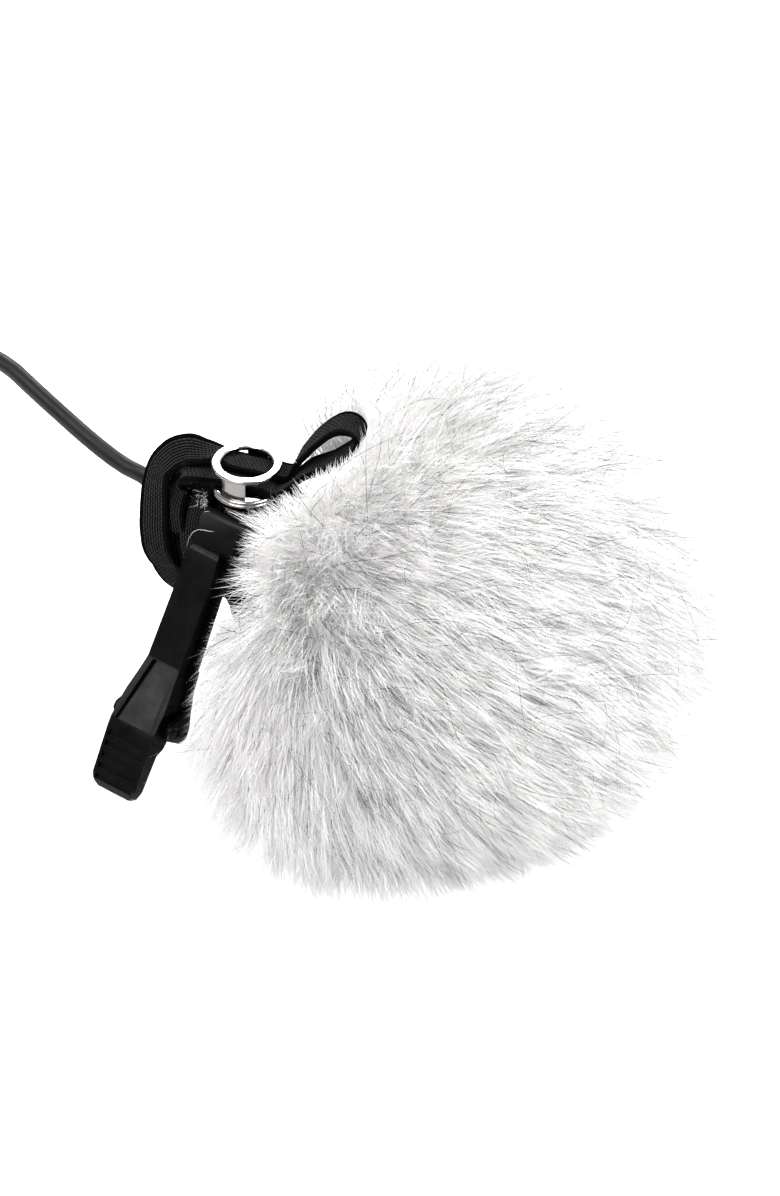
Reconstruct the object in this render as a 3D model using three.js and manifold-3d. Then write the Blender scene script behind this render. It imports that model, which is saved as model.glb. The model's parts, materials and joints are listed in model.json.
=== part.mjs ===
// Lavalier microphone: a clip-on capsule under a long-pile fur windshield, with an elastic neck
// strap, a metal strap slider, a spring tie clip, and a short cable to a 3.5 mm plug.
// Millimetres, +Z up, resting on the flattened underside of the fur ball at z = 0. The ball is
// centred over the origin; its neck, clip and cable lie towards -X +Y, and the plug points to -Y.
import * as THREE from "three";
import { mergeVertices } from "three/addons/utils/BufferGeometryUtils.js";
import Module from "manifold-3d";

const wasm = await Module();
wasm.setup();

const vec = (x, y, z) => new THREE.Vector3(x, y, z);

// ---- driving dimensions ----
// Fur ball and the fabric bag inside it
const BALL_R = 33;
const BALL_Z = 30; // ball centre above the flat underside
const BAG_R = 15.8; // inside of the bag
const BAG_T = 0.9;
const BAG_SHIFT = 8; // bag centre, from the ball centre towards the neck
const PASSAGE_R = 10.4; // outside of the passage from the bag to the neck
const PASSAGE_BORE = 9.6;
const FUR_GAP = 0.4; // between fur and bag
const NECK_MOUTH = -16.6; // end of the passage, along the strap and mic axes

// Neck: cuff and strap turns
const NECK = vec(-34.9, 24.0, 28.8); // centre of the neck strap
const STRAP_AXIS = vec(-0.7348, 0.6027, -0.3102).normalize();
const STRAP_W = 6.0;
const STRAP_T = 1.1;
const TURN_R = 9.4; // inside radius of the strap turns
const TURN_HALF_GAP = 0.15;
const CUFF_R = 9.1;
const CUFF_BORE = 8.1;
const CUFF_LEAN = 0.62; // sideways shift of the flare per millimetre of length
const CUFF_LEAN_START = -6.6;
const CUFF_GAP = 0.35; // round the passage

// Microphone, measured along its axis from the mic origin
const MIC_AXIS = vec(-0.7147, 0.6967, -0.0619).normalize(); // from head to cable
const MIC_SHIFT = vec(0, 0.5878, 0.809); // mic origin, from the neck centre
const MIC_R = 4.2;
const MIC_REAR = 3.0;
const MIC_HEAD = -19.0;
const FOAM_R = 8.7;
const FOAM_CENTRE = -30.4;

// Tie clip. Its axes are q along the mic, p from nose to thumb pad, r outwards.
const CLIP_RUN = vec(-0.3552, -0.4369, -0.8264); // nose to pad
const CLIP_Q = -9.6; // centre plane of the clip along the mic axis
const PROFILE_P = -0.12; // offset of the drawn clip profiles along p
const PROFILE_R = -1.66; // and along r
const JAW_W = 8.6;
const EAR_IN = 5.05;
const EAR_OUT = 5.85;
const PIN_P = 30.18; // hinge pin, along the clip
const PIN_R = 12.24; // hinge pin, height over the mic axis
const PIN_RAD = 0.75;
const PIN_HALF = 5.75; // half length
const HOLE_HALF = 7; // half length of the cuts for the pin
const SPRING_ROOM_HALF = 2.7;
const CLEAR_HALF = 8; // half width of a profile that reaches past the clip's sides

// Strap slider
const SLIDER = vec(-31.1, 16.2, 44.2);
const SLIDER_RUN = vec(0.9326, -0.361, 0).normalize(); // strap direction through it
const RING_OUT = 5.3;
const RING_IN = 3.95;
const RING_HALF_GAP = 1.6; // between the two rings

// Cable and plug
const CABLE_R = 1.35;
const CABLE_BORE = 0.8;
const CORE_R = 0.5;
const PLUG_X = -83.5;
const PLUG_Z = 4.2;

// ---- materials; metalness is 0 where not given ----
const MATERIAL = {
  strap: { color: 0x161719, roughness: 0.85 },
  upperRing: { color: 0xdcdcdc, roughness: 0.18, metalness: 1 },
  lowerRing: { color: 0xd2cfcb, roughness: 0.2, metalness: 1 },
  fur: { color: 0xf1efec, roughness: 0.95 },
  backing: { color: 0xbdbab6, roughness: 0.95 },
  cuff: { color: 0x1b1b1d, roughness: 0.9 },
  housing: { color: 0x191919, roughness: 0.45, metalness: 0.6 },
  grille: { color: 0x1c1c1c, roughness: 0.4, metalness: 0.7 },
  mesh: { color: 0x8a8a8a, roughness: 0.5, metalness: 0.8 },
  can: { color: 0xc9c9c4, roughness: 0.3, metalness: 1 },
  diaphragmRing: { color: 0xb08d3c, roughness: 0.35, metalness: 1 },
  diaphragm: { color: 0xd8b65a, roughness: 0.2, metalness: 1 },
  spacer: { color: 0xe8e2c8, roughness: 0.6 },
  backPlate: { color: 0xb9b9b2, roughness: 0.35, metalness: 1 },
  insulator: { color: 0xefefef, roughness: 0.5 },
  board: { color: 0x1d6b3a, roughness: 0.5 },
  seat: { color: 0x202020, roughness: 0.9 },
  foam: { color: 0x2a2a2c, roughness: 1 },
  cableBoot: { color: 0x1a1a1a, roughness: 0.7 },
  jacket: { color: 0x1b1b1c, roughness: 0.5 },
  core: { color: 0xb46a3a, roughness: 0.5, metalness: 0.5 },
  contact: { color: 0xd9b45b, roughness: 0.25, metalness: 1 },
  plugInsulator: { color: 0x151515, roughness: 0.5 },
  plugShell: { color: 0x1c1c1c, roughness: 0.35, metalness: 0.3 },
  plugBoot: { color: 0x181818, roughness: 0.7 },
  jaw: { color: 0x1a1a1b, roughness: 0.45 },
  pin: { color: 0x9a9a9a, roughness: 0.3, metalness: 1 },
  lever: { color: 0x1a1a1b, roughness: 0.42 },
  spring: { color: 0xb5b5b5, roughness: 0.3, metalness: 1 },
  holder: { color: 0x1a1a1b, roughness: 0.5 },
};

// ---- solids ----
// Welds a closed geometry into a manifold, turning it right side out if needed.
function solid(geometry) {
  const bare = geometry.clone();
  for (const key of Object.keys(bare.attributes)) {
    if (key !== "position") bare.deleteAttribute(key);
  }
  const welded = mergeVertices(bare, 1e-4);
  const vertProperties = new Float32Array(welded.attributes.position.array);
  const triVerts = new Uint32Array(welded.index.array);
  const build = () => new wasm.Manifold(new wasm.Mesh({ numProp: 3, vertProperties, triVerts }));
  const result = build();
  if (result.volume() >= 0) return result;
  for (let i = 0; i < triVerts.length; i += 3) {
    [triVerts[i + 1], triVerts[i + 2]] = [triVerts[i + 2], triVerts[i + 1]];
  }
  return build();
}

function geometryOf(shape) {
  const mesh = shape.getMesh();
  const stride = mesh.numProp;
  const positions = new Float32Array(mesh.numVert * 3);
  for (let i = 0; i < mesh.numVert; i++) {
    positions.set(mesh.vertProperties.subarray(i * stride, i * stride + 3), i * 3);
  }
  const geometry = new THREE.BufferGeometry();
  geometry.setAttribute("position", new THREE.BufferAttribute(positions, 3));
  geometry.setIndex(new THREE.BufferAttribute(new Uint32Array(mesh.triVerts), 1));
  geometry.computeVertexNormals();
  return geometry;
}

function placed(shape, matrix) {
  return solid(geometryOf(shape).applyMatrix4(matrix));
}

const cut = (body, ...tools) => tools.reduce((rest, tool) => rest.subtract(tool), body);

// Revolves a profile of [z, radius] about +Z.
function turned(profile, segments) {
  const points = profile.map(([z, radius]) => new THREE.Vector2(radius, z));
  const geometry = new THREE.LatheGeometry(points, segments);
  geometry.rotateX(Math.PI / 2);
  return solid(geometry);
}

// The same, for a profile that returns to its first point.
const turnedLoop = (profile, segments) => turned([...profile, profile[0]], segments);

const disc = (z0, z1, radius, segments) =>
  turned([[z0, 0], [z0, radius], [z1, radius], [z1, 0]], segments);

const ring = (z0, z1, inner, outer, segments) =>
  turnedLoop([[z0, inner], [z0, outer], [z1, outer], [z1, inner]], segments);

function box(x0, x1, y0, y1, z0, z1) {
  const geometry = new THREE.BoxGeometry(x1 - x0, y1 - y0, z1 - z0);
  geometry.translate((x0 + x1) / 2, (y0 + y1) / 2, (z0 + z1) / 2);
  return solid(geometry);
}

function sphere(centre, radius, around, down) {
  const geometry = new THREE.SphereGeometry(radius, around, down);
  geometry.rotateX(Math.PI / 2);
  geometry.translate(centre.x, centre.y, centre.z);
  return solid(geometry);
}

// A cylinder between two points.
function rod(start, end, radius) {
  const run = end.clone().sub(start);
  const length = run.length();
  const geometry = new THREE.CylinderGeometry(radius, radius, length, 20);
  geometry.rotateX(Math.PI / 2);
  geometry.translate(0, 0, length / 2);
  const turn = new THREE.Quaternion().setFromUnitVectors(vec(0, 0, 1), run.normalize());
  geometry.applyQuaternion(turn);
  geometry.translate(start.x, start.y, start.z);
  return solid(geometry);
}

// A polygon in (x, y) extruded from z0 to z1.
function prism(points, z0, z1, bevel = 0) {
  const outline = new THREE.Shape(points.map(([x, y]) => new THREE.Vector2(x, y)));
  const geometry = new THREE.ExtrudeGeometry(outline, {
    depth: z1 - z0 - 2 * bevel,
    bevelEnabled: bevel > 0,
    bevelThickness: bevel,
    bevelSize: bevel,
    bevelOffset: -bevel,
    bevelSegments: 1,
  });
  geometry.translate(0, 0, z0 + bevel);
  return solid(geometry);
}

// Points [x, y] on an arc about the origin; angles in degrees.
function arc(radius, from, to, steps) {
  return Array.from({ length: steps + 1 }, (_, i) => {
    const angle = THREE.MathUtils.degToRad(from + ((to - from) * i) / steps);
    return [radius * Math.cos(angle), radius * Math.sin(angle)];
  });
}

const smoothCurve = (points) => new THREE.CatmullRomCurve3(points, false, "centripetal");

// A round section swept along points; an inner radius above 0 makes it a tube.
function swept(points, { outer, inner = 0, sides, steps }) {
  const polygon = (radius) =>
    Array.from({ length: sides }, (_, i) => {
      const angle = (2 * Math.PI * i) / sides;
      return new THREE.Vector2(radius * Math.cos(angle), radius * Math.sin(angle));
    });
  const section = new THREE.Shape(polygon(outer));
  if (inner > 0) section.holes.push(new THREE.Path(polygon(inner).reverse()));
  const extrudePath = smoothCurve(points);
  return solid(
    new THREE.ExtrudeGeometry(section, { steps, bevelEnabled: false, extrudePath }),
  );
}

// A flat strip along stations of [centre, width direction, width].
function strip(stations, thickness, steps) {
  const centres = smoothCurve(stations.map(([centre]) => centre));
  const sides = smoothCurve(stations.map(([, side]) => side));
  const geometry = new THREE.BoxGeometry(1, 1, 1, steps, 1, 1);
  const position = geometry.attributes.position;
  for (let i = 0; i < position.count; i++) {
    const t = position.getX(i) + 0.5;
    const along = t * (stations.length - 1);
    const index = Math.min(Math.floor(along), stations.length - 2);
    const blend = along - index;
    const width = stations[index][2] * (1 - blend) + stations[index + 1][2] * blend;
    const tangent = centres.getTangent(t);
    const side = sides.getPoint(t);
    side.addScaledVector(tangent, -side.dot(tangent)).normalize();
    const up = new THREE.Vector3().crossVectors(tangent, side).normalize();
    const point = centres
      .getPoint(t)
      .addScaledVector(side, position.getY(i) * width)
      .addScaledVector(up, position.getZ(i) * thickness);
    position.setXYZ(i, point.x, point.y, point.z);
  }
  return solid(geometry);
}

// ---- frames ----
const basis = (x, y, z, origin) => new THREE.Matrix4().makeBasis(x, y, z).setPosition(origin);

// The clip runs square to the mic axis.
const clipRun = CLIP_RUN.clone().addScaledVector(MIC_AXIS, -CLIP_RUN.dot(MIC_AXIS)).normalize();
const outward = new THREE.Vector3().crossVectors(MIC_AXIS, clipRun).normalize();
const micOrigin = NECK.clone().add(MIC_SHIFT);
const onMic = (distance) => micOrigin.clone().addScaledVector(MIC_AXIS, distance);

const strapX = new THREE.Vector3().crossVectors(vec(0, 0, 1), STRAP_AXIS).normalize();
const strapY = new THREE.Vector3().crossVectors(STRAP_AXIS, strapX);
const sliderSide = vec(-SLIDER_RUN.y, SLIDER_RUN.x, 0); // towards +Y

const micFrame = basis(clipRun, outward, MIC_AXIS, micOrigin); // x = p, y = r, z = q
const clipFrame = basis(MIC_AXIS, clipRun, outward, micOrigin); // x = q, y = p, z = r
const strapFrame = basis(strapX, strapY, STRAP_AXIS, NECK);
const sliderFrame = basis(SLIDER_RUN, sliderSide, vec(0, 0, 1), SLIDER);
const plugFrame = basis(vec(0, 0, 1), vec(1, 0, 0), vec(0, 1, 0), vec(PLUG_X, 0, PLUG_Z));

const root = new THREE.Group();
function framedGroup(frame) {
  const group = new THREE.Group();
  group.applyMatrix4(frame);
  root.add(group);
  return group;
}
const micGroup = framedGroup(micFrame);
const clipGroup = framedGroup(clipFrame);
const strapGroup = framedGroup(strapFrame);
const sliderGroup = framedGroup(sliderFrame);

function piece(name, shape, finish, group = root) {
  const mesh = new THREE.Mesh(geometryOf(shape), new THREE.MeshStandardMaterial(finish));
  mesh.name = name;
  group.add(mesh);
}

// ---- strap slider and the strap through it ----
// A point measured along, across and above the slider.
const atSlider = (along, side, up) =>
  SLIDER.clone()
    .addScaledVector(SLIDER_RUN, along)
    .addScaledVector(sliderSide, side)
    .add(vec(0, 0, up));

function buildPullLoop() {
  const shift = vec(0, 0.809, -0.5878).multiplyScalar(1.5); // sets the free loop into the pile
  const free = (x, y, z) => vec(x, y, z).add(shift);
  const loopSide = vec(0.25, 0.97, 0.0);
  // [centre, width direction, width]
  const stations = [
    [vec(-42.2, 25.0, 40.4), vec(0.5, 0.85, -0.1), 5.4],
    [vec(-40.9, 23.2, 42.8), vec(0.45, 0.89, -0.15), 5.4],
    [vec(-39.2, 21.2, 44.2), vec(0.4, 0.92, -0.1), 5.0],
    [atSlider(-6.0, 2.2, 0.75), sliderSide, 4.6],
    [atSlider(-3.0, 2.2, 0.75), sliderSide, 4.5],
    [atSlider(3.0, 2.2, 0.75), sliderSide, 4.5],
    [atSlider(6.3, 2.2, 0.9), sliderSide, 4.6],
    [free(-23.0, 15.2, 48.3), vec(0.2, 0.96, 0.1), 5.6],
    [free(-20.2, 14.6, 51.0), vec(0.25, 0.96, 0.0), 5.8],
    [free(-17.6, 14.0, 53.8), loopSide, 5.8],
    [free(-15.5, 13.5, 55.6), loopSide, 5.8],
    [free(-13.9, 13.1, 55.6), loopSide, 5.8],
    [free(-13.2, 13.0, 54.1), loopSide, 5.8],
    [free(-14.0, 12.9, 52.1), loopSide, 5.8],
    [free(-16.5, 13.0, 50.6), loopSide, 5.8],
    [free(-19.3, 13.2, 48.4), loopSide, 5.6],
    [free(-22.2, 13.2, 46.2), vec(0.3, 0.95, 0.0), 5.2],
    [atSlider(6.6, -0.2, -0.7), sliderSide, 4.6],
    [atSlider(3.0, -0.2, -0.75), sliderSide, 4.5],
    [atSlider(-3.0, -0.2, -0.75), sliderSide, 4.5],
    [atSlider(-6.6, -0.2, -0.8), sliderSide, 4.7],
    [vec(-40.6, 18.6, 41.6), vec(0.4, 0.92, 0.0), 5.4],
  ];
  piece("strap_pull_loop", strip(stations, STRAP_T, 66), MATERIAL.strap);
}

// Flat washer with a stepped inner edge, and two curved walls the strap runs between.
function buildUpperRing() {
  const base = RING_HALF_GAP;
  const washer = turnedLoop(
    [
      [base, RING_IN + 0.25], [base, RING_OUT - 0.15], [base + 0.2, RING_OUT],
      [base + 0.55, RING_OUT], [base + 0.7, RING_OUT - 0.15], [base + 0.7, RING_IN + 0.2],
      [base + 0.5, RING_IN], [base, RING_IN],
    ],
    28,
  );
  const wall = (inner, outer, from, to) =>
    prism(
      [...arc(outer, from, to, 6), ...arc(inner, from, to, 6).reverse()],
      -RING_HALF_GAP + 0.08,
      RING_HALF_GAP + 0.3,
    );
  const shape = washer.add(wall(3.7, 4.35, -128, -72)).add(wall(4.75, 5.2, 70, 110));
  piece("slider_upper_ring", shape, MATERIAL.upperRing, sliderGroup);
}

// Ring with a groove round its rim.
function buildLowerRing() {
  const top = -RING_HALF_GAP;
  const shape = turnedLoop(
    [
      [top - 0.15, RING_IN - 0.35], [top, RING_IN - 0.15], [top, RING_OUT - 0.6],
      [top - 0.1, RING_OUT - 0.2], [top - 0.35, RING_OUT - 0.05], [top - 0.6, RING_OUT - 0.2],
      [top - 0.68, RING_OUT - 0.45], [top - 0.76, RING_OUT - 0.25], [top - 1.0, RING_OUT - 0.1],
      [top - 1.25, RING_OUT - 0.3], [top - 1.35, RING_OUT - 0.7], [top - 1.35, RING_IN - 0.1],
      [top - 1.2, RING_IN - 0.35],
    ],
    28,
  );
  piece("slider_lower_ring", shape, MATERIAL.lowerRing, sliderGroup);
}

// Clearance shapes round the slider: one on it and a copy moved by the given distances.
function sliderRoom(shape, x, y, z) {
  const moved = new THREE.Matrix4().makeTranslation(x, y, z).multiply(sliderFrame);
  return [placed(shape, sliderFrame), placed(shape, moved)];
}

// ---- fur windshield ----
const ballCentre = vec(0, 0, BALL_Z);
const toNeck = NECK.clone().sub(ballCentre).normalize();
const bagCentre = ballCentre.clone().addScaledVector(toNeck, BAG_SHIFT);
const neckMouth = NECK.clone()
  .addScaledVector(STRAP_AXIS, NECK_MOUTH)
  .lerp(onMic(NECK_MOUTH), 0.5);
const passageRun = neckMouth.clone().sub(bagCentre).normalize();
const passage = (radius, beyond = 0) =>
  rod(bagCentre, neckMouth.clone().addScaledVector(passageRun, beyond), radius);

// The flared end of the cuff leans towards the pad end of the clip, in strap axes.
const padDirection = clipRun.clone().transformDirection(strapFrame.clone().invert());
const lean = new THREE.Vector2(padDirection.x, padDirection.y).normalize();

function buildFur() {
  const ball = sphere(ballCentre, BALL_R, 26, 16).subtract(box(-60, 60, -60, 60, -30, 0));
  const bagRoom = sphere(bagCentre, BAG_R + BAG_T + FUR_GAP, 20, 12)
    .add(passage(PASSAGE_R + FUR_GAP, 12));
  const cuffShift = new THREE.Matrix4().makeTranslation(lean.x * 3.4, lean.y * 3.4, 0);
  const cuffRoom = placed(
    turned([[-13.6, 0], [-13.6, 11.6], [-12.2, 12.6], [12, 13.2], [12, 0]], 28),
    strapFrame.clone().multiply(cuffShift),
  );
  const cone = turned([[-3.6, 0], [-3.6, 6.6], [9, 9.5], [9, 0]], 20);
  // [centre, width direction, width]
  const loopRoom = strip(
    [
      [vec(-28.0, 14.0, 48.5), sliderSide, 10.0],
      [vec(-22.0, 14.5, 50.5), sliderSide, 10.0],
      [vec(-16.0, 14.2, 53.5), sliderSide, 10.0],
      [vec(-7.5, 14.0, 57.0), sliderSide, 10.0],
    ],
    12.0,
    6,
  );
  const shape = cut(ball, bagRoom, cuffRoom, ...sliderRoom(cone, 3.4, -1.4, 0.8), loopRoom);
  piece("fur_cover", shape, MATERIAL.fur);
}

function buildBacking() {
  const outside = sphere(bagCentre, BAG_R + BAG_T, 20, 12).add(passage(PASSAGE_R));
  const shape = cut(outside, sphere(bagCentre, BAG_R, 20, 12), passage(PASSAGE_BORE, 3));
  piece("fur_backing", shape, MATERIAL.backing);
}

// ---- clip drawing helpers ----
// A side profile [p, r] extruded between two distances from the clip's centre plane.
function acrossClip(points, from, to, bevel = 0) {
  const moved = points.map(([p, r]) => [p + PROFILE_P, r + PROFILE_R]);
  const upright = prism(moved, CLIP_Q + from, CLIP_Q + to, bevel);
  return placed(upright, basis(vec(0, 1, 0), vec(0, 0, 1), vec(1, 0, 0), vec(0, 0, 0)));
}

// A symmetrical plan, given as [half width, p] down one side, extruded over r.
function clipPlan(half, r0, r1) {
  const edge = (sign) => half.map(([width, p]) => [CLIP_Q + sign * width, p + PROFILE_P]);
  return prism([...edge(1), ...edge(-1).reverse()], r0, r1);
}

// A cylinder about the hinge pin's axis.
const aboutPin = (half, radius) =>
  rod(vec(CLIP_Q - half, PIN_P, PIN_R), vec(CLIP_Q + half, PIN_P, PIN_R), radius);

// ---- neck cuff and strap turns, about the strap axis ----
function flaredCuff() {
  const geometry = geometryOf(
    turnedLoop(
      [
        [8.0, 4.9], [8.0, 7.8], [7.2, 8.8], [6.6, CUFF_R], [-6.6, CUFF_R], [-7.2, 9.8],
        [-8.8, 10.8], [-10.8, 11.2], [-12.0, 10.8], [-12.2, 9.9], [-11.0, 10.3], [-9.4, 10.0],
        [-8.0, 9.0], [-6.8, CUFF_BORE], [6.6, CUFF_BORE], [7.1, 7.4], [7.2, 4.9],
      ],
      30,
    ),
  );
  const position = geometry.attributes.position;
  for (let i = 0; i < position.count; i++) {
    const shift = Math.max(0, CUFF_LEAN_START - position.getZ(i)) * CUFF_LEAN;
    position.setXY(i, position.getX(i) + lean.x * shift, position.getY(i) + lean.y * shift);
  }
  return placed(solid(geometry), strapFrame);
}

function buildCuff() {
  const micHole = placed(disc(-14, 14, 4.1, 24), micFrame);
  const stemRoom = placed(box(CLIP_Q - 2.6, CLIP_Q + 2.6, -3.9, 3.9, 2, 30), clipFrame);
  const jawHalf = JAW_W / 2 + 0.5;
  const jawRoom = placed(
    acrossClip([[-4.5, 12.6], [4, 12.55], [34, 10.2], [34, 20], [-4.5, 20]], -jawHalf, jawHalf),
    clipFrame,
  );
  const shape = cut(
    flaredCuff(),
    micHole,
    stemRoom,
    passage(PASSAGE_R + CUFF_GAP, CUFF_GAP),
    jawRoom,
    ...sliderRoom(disc(-3.4, 4, 6.4, 24), 2.6, -1.0, 0),
  );
  piece("neck_cuff", shape, MATERIAL.cuff);
}

function buildStrapTurns() {
  const near = TURN_HALF_GAP;
  const far = near + STRAP_W;
  const turn = (z0, z1) => ring(z0, z1, TURN_R, TURN_R + STRAP_T, 32);
  piece("strap_turn_rear", turn(near, far), MATERIAL.strap, strapGroup);
  piece("strap_turn_front", turn(-far, -near), MATERIAL.strap, strapGroup);
}

// ---- microphone, about the mic axis ----
const HEAD = MIC_HEAD;

function buildHousing() {
  const shape = turnedLoop(
    [
      [HEAD, 3.7], [HEAD, 4.0], [HEAD + 0.3, MIC_R], [MIC_REAR - 0.5, MIC_R],
      [MIC_REAR, MIC_R - 0.5], [MIC_REAR, 1.2], [MIC_REAR - 0.9, 1.2], [MIC_REAR - 0.9, 3.3],
      [HEAD + 6, 3.3], [HEAD + 6, 3.7],
    ],
    24,
  );
  piece("mic_housing", shape, MATERIAL.housing, micGroup);
}

// End cap with radial slots.
function buildGrille() {
  const slots = 6;
  let cap = turnedLoop(
    [
      [HEAD - 0.1, 3.35], [HEAD - 2.8, 3.35], [HEAD - 2.8, 0], [HEAD - 3.5, 0],
      [HEAD - 3.5, MIC_R - 0.9], [HEAD - 2.6, MIC_R], [HEAD - 0.1, MIC_R],
    ],
    24,
  );
  const slot = box(1.0, 5, -0.35, 0.35, HEAD - 4, HEAD - 1.3);
  for (let i = 0; i < slots; i++) {
    const turn = new THREE.Matrix4().makeRotationZ((i * 2 * Math.PI) / slots);
    cap = cap.subtract(placed(slot, turn));
  }
  piece("mic_grille", cap, MATERIAL.grille, micGroup);
  piece("acoustic_mesh", disc(HEAD - 2.6, HEAD - 2.45, 3.1, 18), MATERIAL.mesh, micGroup);
}

// Electret capsule: the can, then the parts stacked in and behind it.
function buildCapsule() {
  const can = turnedLoop(
    [
      [HEAD - 2.2, 0.6], [HEAD - 2.2, 3.0], [HEAD + 1.6, 3.0],
      [HEAD + 1.6, 2.75], [HEAD - 1.95, 2.75], [HEAD - 1.95, 0.6],
    ],
    20,
  );
  piece("capsule_can", can, MATERIAL.can, micGroup);
  // name, ends from the head along the axis, inner and outer radius, material
  const stack = [
    ["diaphragm_ring", -1.85, -1.45, 2.0, 2.6, MATERIAL.diaphragmRing],
    ["diaphragm", -1.38, -1.33, 0, 2.6, MATERIAL.diaphragm],
    ["diaphragm_spacer", -1.26, -1.16, 2.1, 2.6, MATERIAL.spacer],
    ["back_plate", -1.08, -0.68, 0, 2.45, MATERIAL.backPlate],
    ["insulator_ring", -0.58, 0.7, 1.9, 2.6, MATERIAL.insulator],
    ["amplifier_board", 0.8, 1.4, 0, 2.6, MATERIAL.board],
    ["capsule_seat", 1.9, 3.2, 1.4, 3.6, MATERIAL.seat],
  ];
  for (const [name, from, to, inner, outer, finish] of stack) {
    const [z0, z1] = [HEAD + from, HEAD + to];
    const shape = inner > 0 ? ring(z0, z1, inner, outer, 18) : disc(z0, z1, outer, 18);
    piece(name, shape, finish, micGroup);
  }
}

// Foam ball with a sleeve over the head.
function buildFoam() {
  const ball = arc(FOAM_R, -90, 52, 12).map(([radius, z]) => [FOAM_CENTRE + z, radius]);
  const sleeve = [[-18.6, 6.3], [-14.2, 6.2], [-14.0, 5.8], [-14.0, 4.6], [-23.4, 4.6], [-23.4, 0]];
  piece("foam_windscreen", turned([...ball, ...sleeve], 22), MATERIAL.foam, micGroup);
}

function buildCableBoot() {
  const shape = turnedLoop(
    [
      [MIC_REAR + 0.2, 1.65], [MIC_REAR + 0.2, 3.5], [MIC_REAR + 1.4, 3.6],
      [MIC_REAR + 7.8, 2.1], [MIC_REAR + 8.1, 1.65],
    ],
    18,
  );
  piece("cable_boot", shape, MATERIAL.cableBoot, micGroup);
}

// ---- cable, from the mic to the plug ----
function buildCable() {
  const path = [
    onMic(MIC_REAR + 1.2), onMic(MIC_REAR + 5.2), onMic(MIC_REAR + 9.6),
    vec(-46.2, 33.4, 31.2), vec(-50, 35.6, 32.1), vec(-54.5, 38.4, 34.3),
    vec(-59, 42.2, 36.4), vec(-63.4, 46.2, 38.4), vec(-67.9, 50.6, 40.1),
    vec(-73.5, 55.6, 39.0), vec(-79.0, 58.6, 31.0), vec(-82.6, 59.2, 19.5),
    vec(-83.5, 56.5, 9.0), vec(PLUG_X, 51.5, 5.0), vec(PLUG_X, 46.5, PLUG_Z),
    vec(PLUG_X, 41.5, PLUG_Z), vec(PLUG_X, 36.5, PLUG_Z),
  ];
  const jacket = swept(path, { outer: CABLE_R, inner: CABLE_BORE, sides: 9, steps: 40 });
  piece("cable_jacket", jacket, MATERIAL.jacket);
  piece("cable_core", swept(path, { outer: CORE_R, sides: 5, steps: 40 }), MATERIAL.core);
}

// ---- plug; profiles are [y, radius] and its tip points to -Y ----
function buildPlug() {
  const plugPiece = (name, shape, finish) => piece(name, placed(shape, plugFrame), finish);

  const tip = [
    [6.0, 0], [6.0, 0.5], [6.6, 1.35], [7.4, 1.75], [8.4, 1.1], [9.0, 1.1], [9.6, 1.7], [9.6, 0],
  ];
  plugPiece("plug_tip", turned(tip, 16), MATERIAL.contact);

  // name, ends, radius, material
  const bands = [
    ["plug_insulator_tip", 9.7, 10.3, 1.7, MATERIAL.plugInsulator],
    ["plug_ring_front", 10.4, 12.4, 1.75, MATERIAL.contact],
    ["plug_insulator_mid", 12.5, 13.1, 1.7, MATERIAL.plugInsulator],
    ["plug_ring_rear", 13.2, 15.2, 1.75, MATERIAL.contact],
    ["plug_insulator_rear", 15.3, 15.9, 1.7, MATERIAL.plugInsulator],
  ];
  for (const [name, from, to, radius, finish] of bands) {
    plugPiece(name, disc(from, to, radius, 16), finish);
  }

  const sleeve = [[16.0, 0], [16.0, 1.75], [19.9, 1.75], [19.9, 2.6], [21.2, 2.6], [21.2, 0]];
  plugPiece("plug_sleeve", turned(sleeve, 16), MATERIAL.contact);

  const shell = [
    [20.2, 2.85], [20.2, 3.6], [20.6, 3.9], [22.0, 3.9], [22.3, 3.7], [23.0, 3.7],
    [23.3, 3.9], [35.6, 3.9], [36.4, 3.5], [36.4, 2.9], [22.0, 2.9], [22.0, 2.85],
  ];
  plugPiece("plug_shell", turnedLoop(shell, 20), MATERIAL.plugShell);

  const boot = [[33.5, 1.6], [33.5, 2.7], [36.5, 2.7], [37.2, 2.6], [44.2, 1.9], [44.6, 1.6]];
  plugPiece("plug_boot", turnedLoop(boot, 16), MATERIAL.plugBoot);
}

// ---- tie clip; side profiles are [p, r] ----
// Tapered plate with a bevelled nose, widened at the tail for two ears that carry the pin.
function buildJaw() {
  const plate = acrossClip(
    [
      [-2.9, 12.95], [4, 12.9], [31.8, 10.7], [31.8, 11.9],
      [4, 13.95], [-1.7, 14.15], [-2.9, 13.55],
    ],
    -JAW_W / 2, JAW_W / 2, 0.3,
  );
  // [half width, p]
  const tailPlan = clipPlan(
    [[4.3, 20.5], [4.55, 24.0], [5.25, 27.0], [EAR_OUT, 29.0], [EAR_OUT, 30.6], [5.2, 31.8]],
    4, 16,
  );
  const tail = acrossClip(
    [[20.5, 11.55], [31.8, 10.75], [31.8, 11.8], [20.5, 12.6]], -CLEAR_HALF, CLEAR_HALF,
  );
  const earProfile = [
    [25.6, 11.4], [31.8, 10.9], [31.9, 13.0], [31.8, 13.9], [31.5, 14.6],
    [31.0, 15.1], [30.3, 15.3], [29.5, 15.15], [28.7, 14.5], [27.6, 13.2],
  ];
  const shape = plate
    .add(tail.intersect(tailPlan))
    .add(acrossClip(earProfile, -EAR_OUT, -EAR_IN).intersect(tailPlan))
    .add(acrossClip(earProfile, EAR_IN, EAR_OUT).intersect(tailPlan))
    .subtract(aboutPin(HOLE_HALF, PIN_RAD + 0.2));
  piece("clip_jaw", shape, MATERIAL.jaw, clipGroup);
}

// Top of the thumb pad, sloping down from its ridge end to its free end.
const PAD_START = [33, 16.75];
const PAD_END = [41.2, 16.0];

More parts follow.
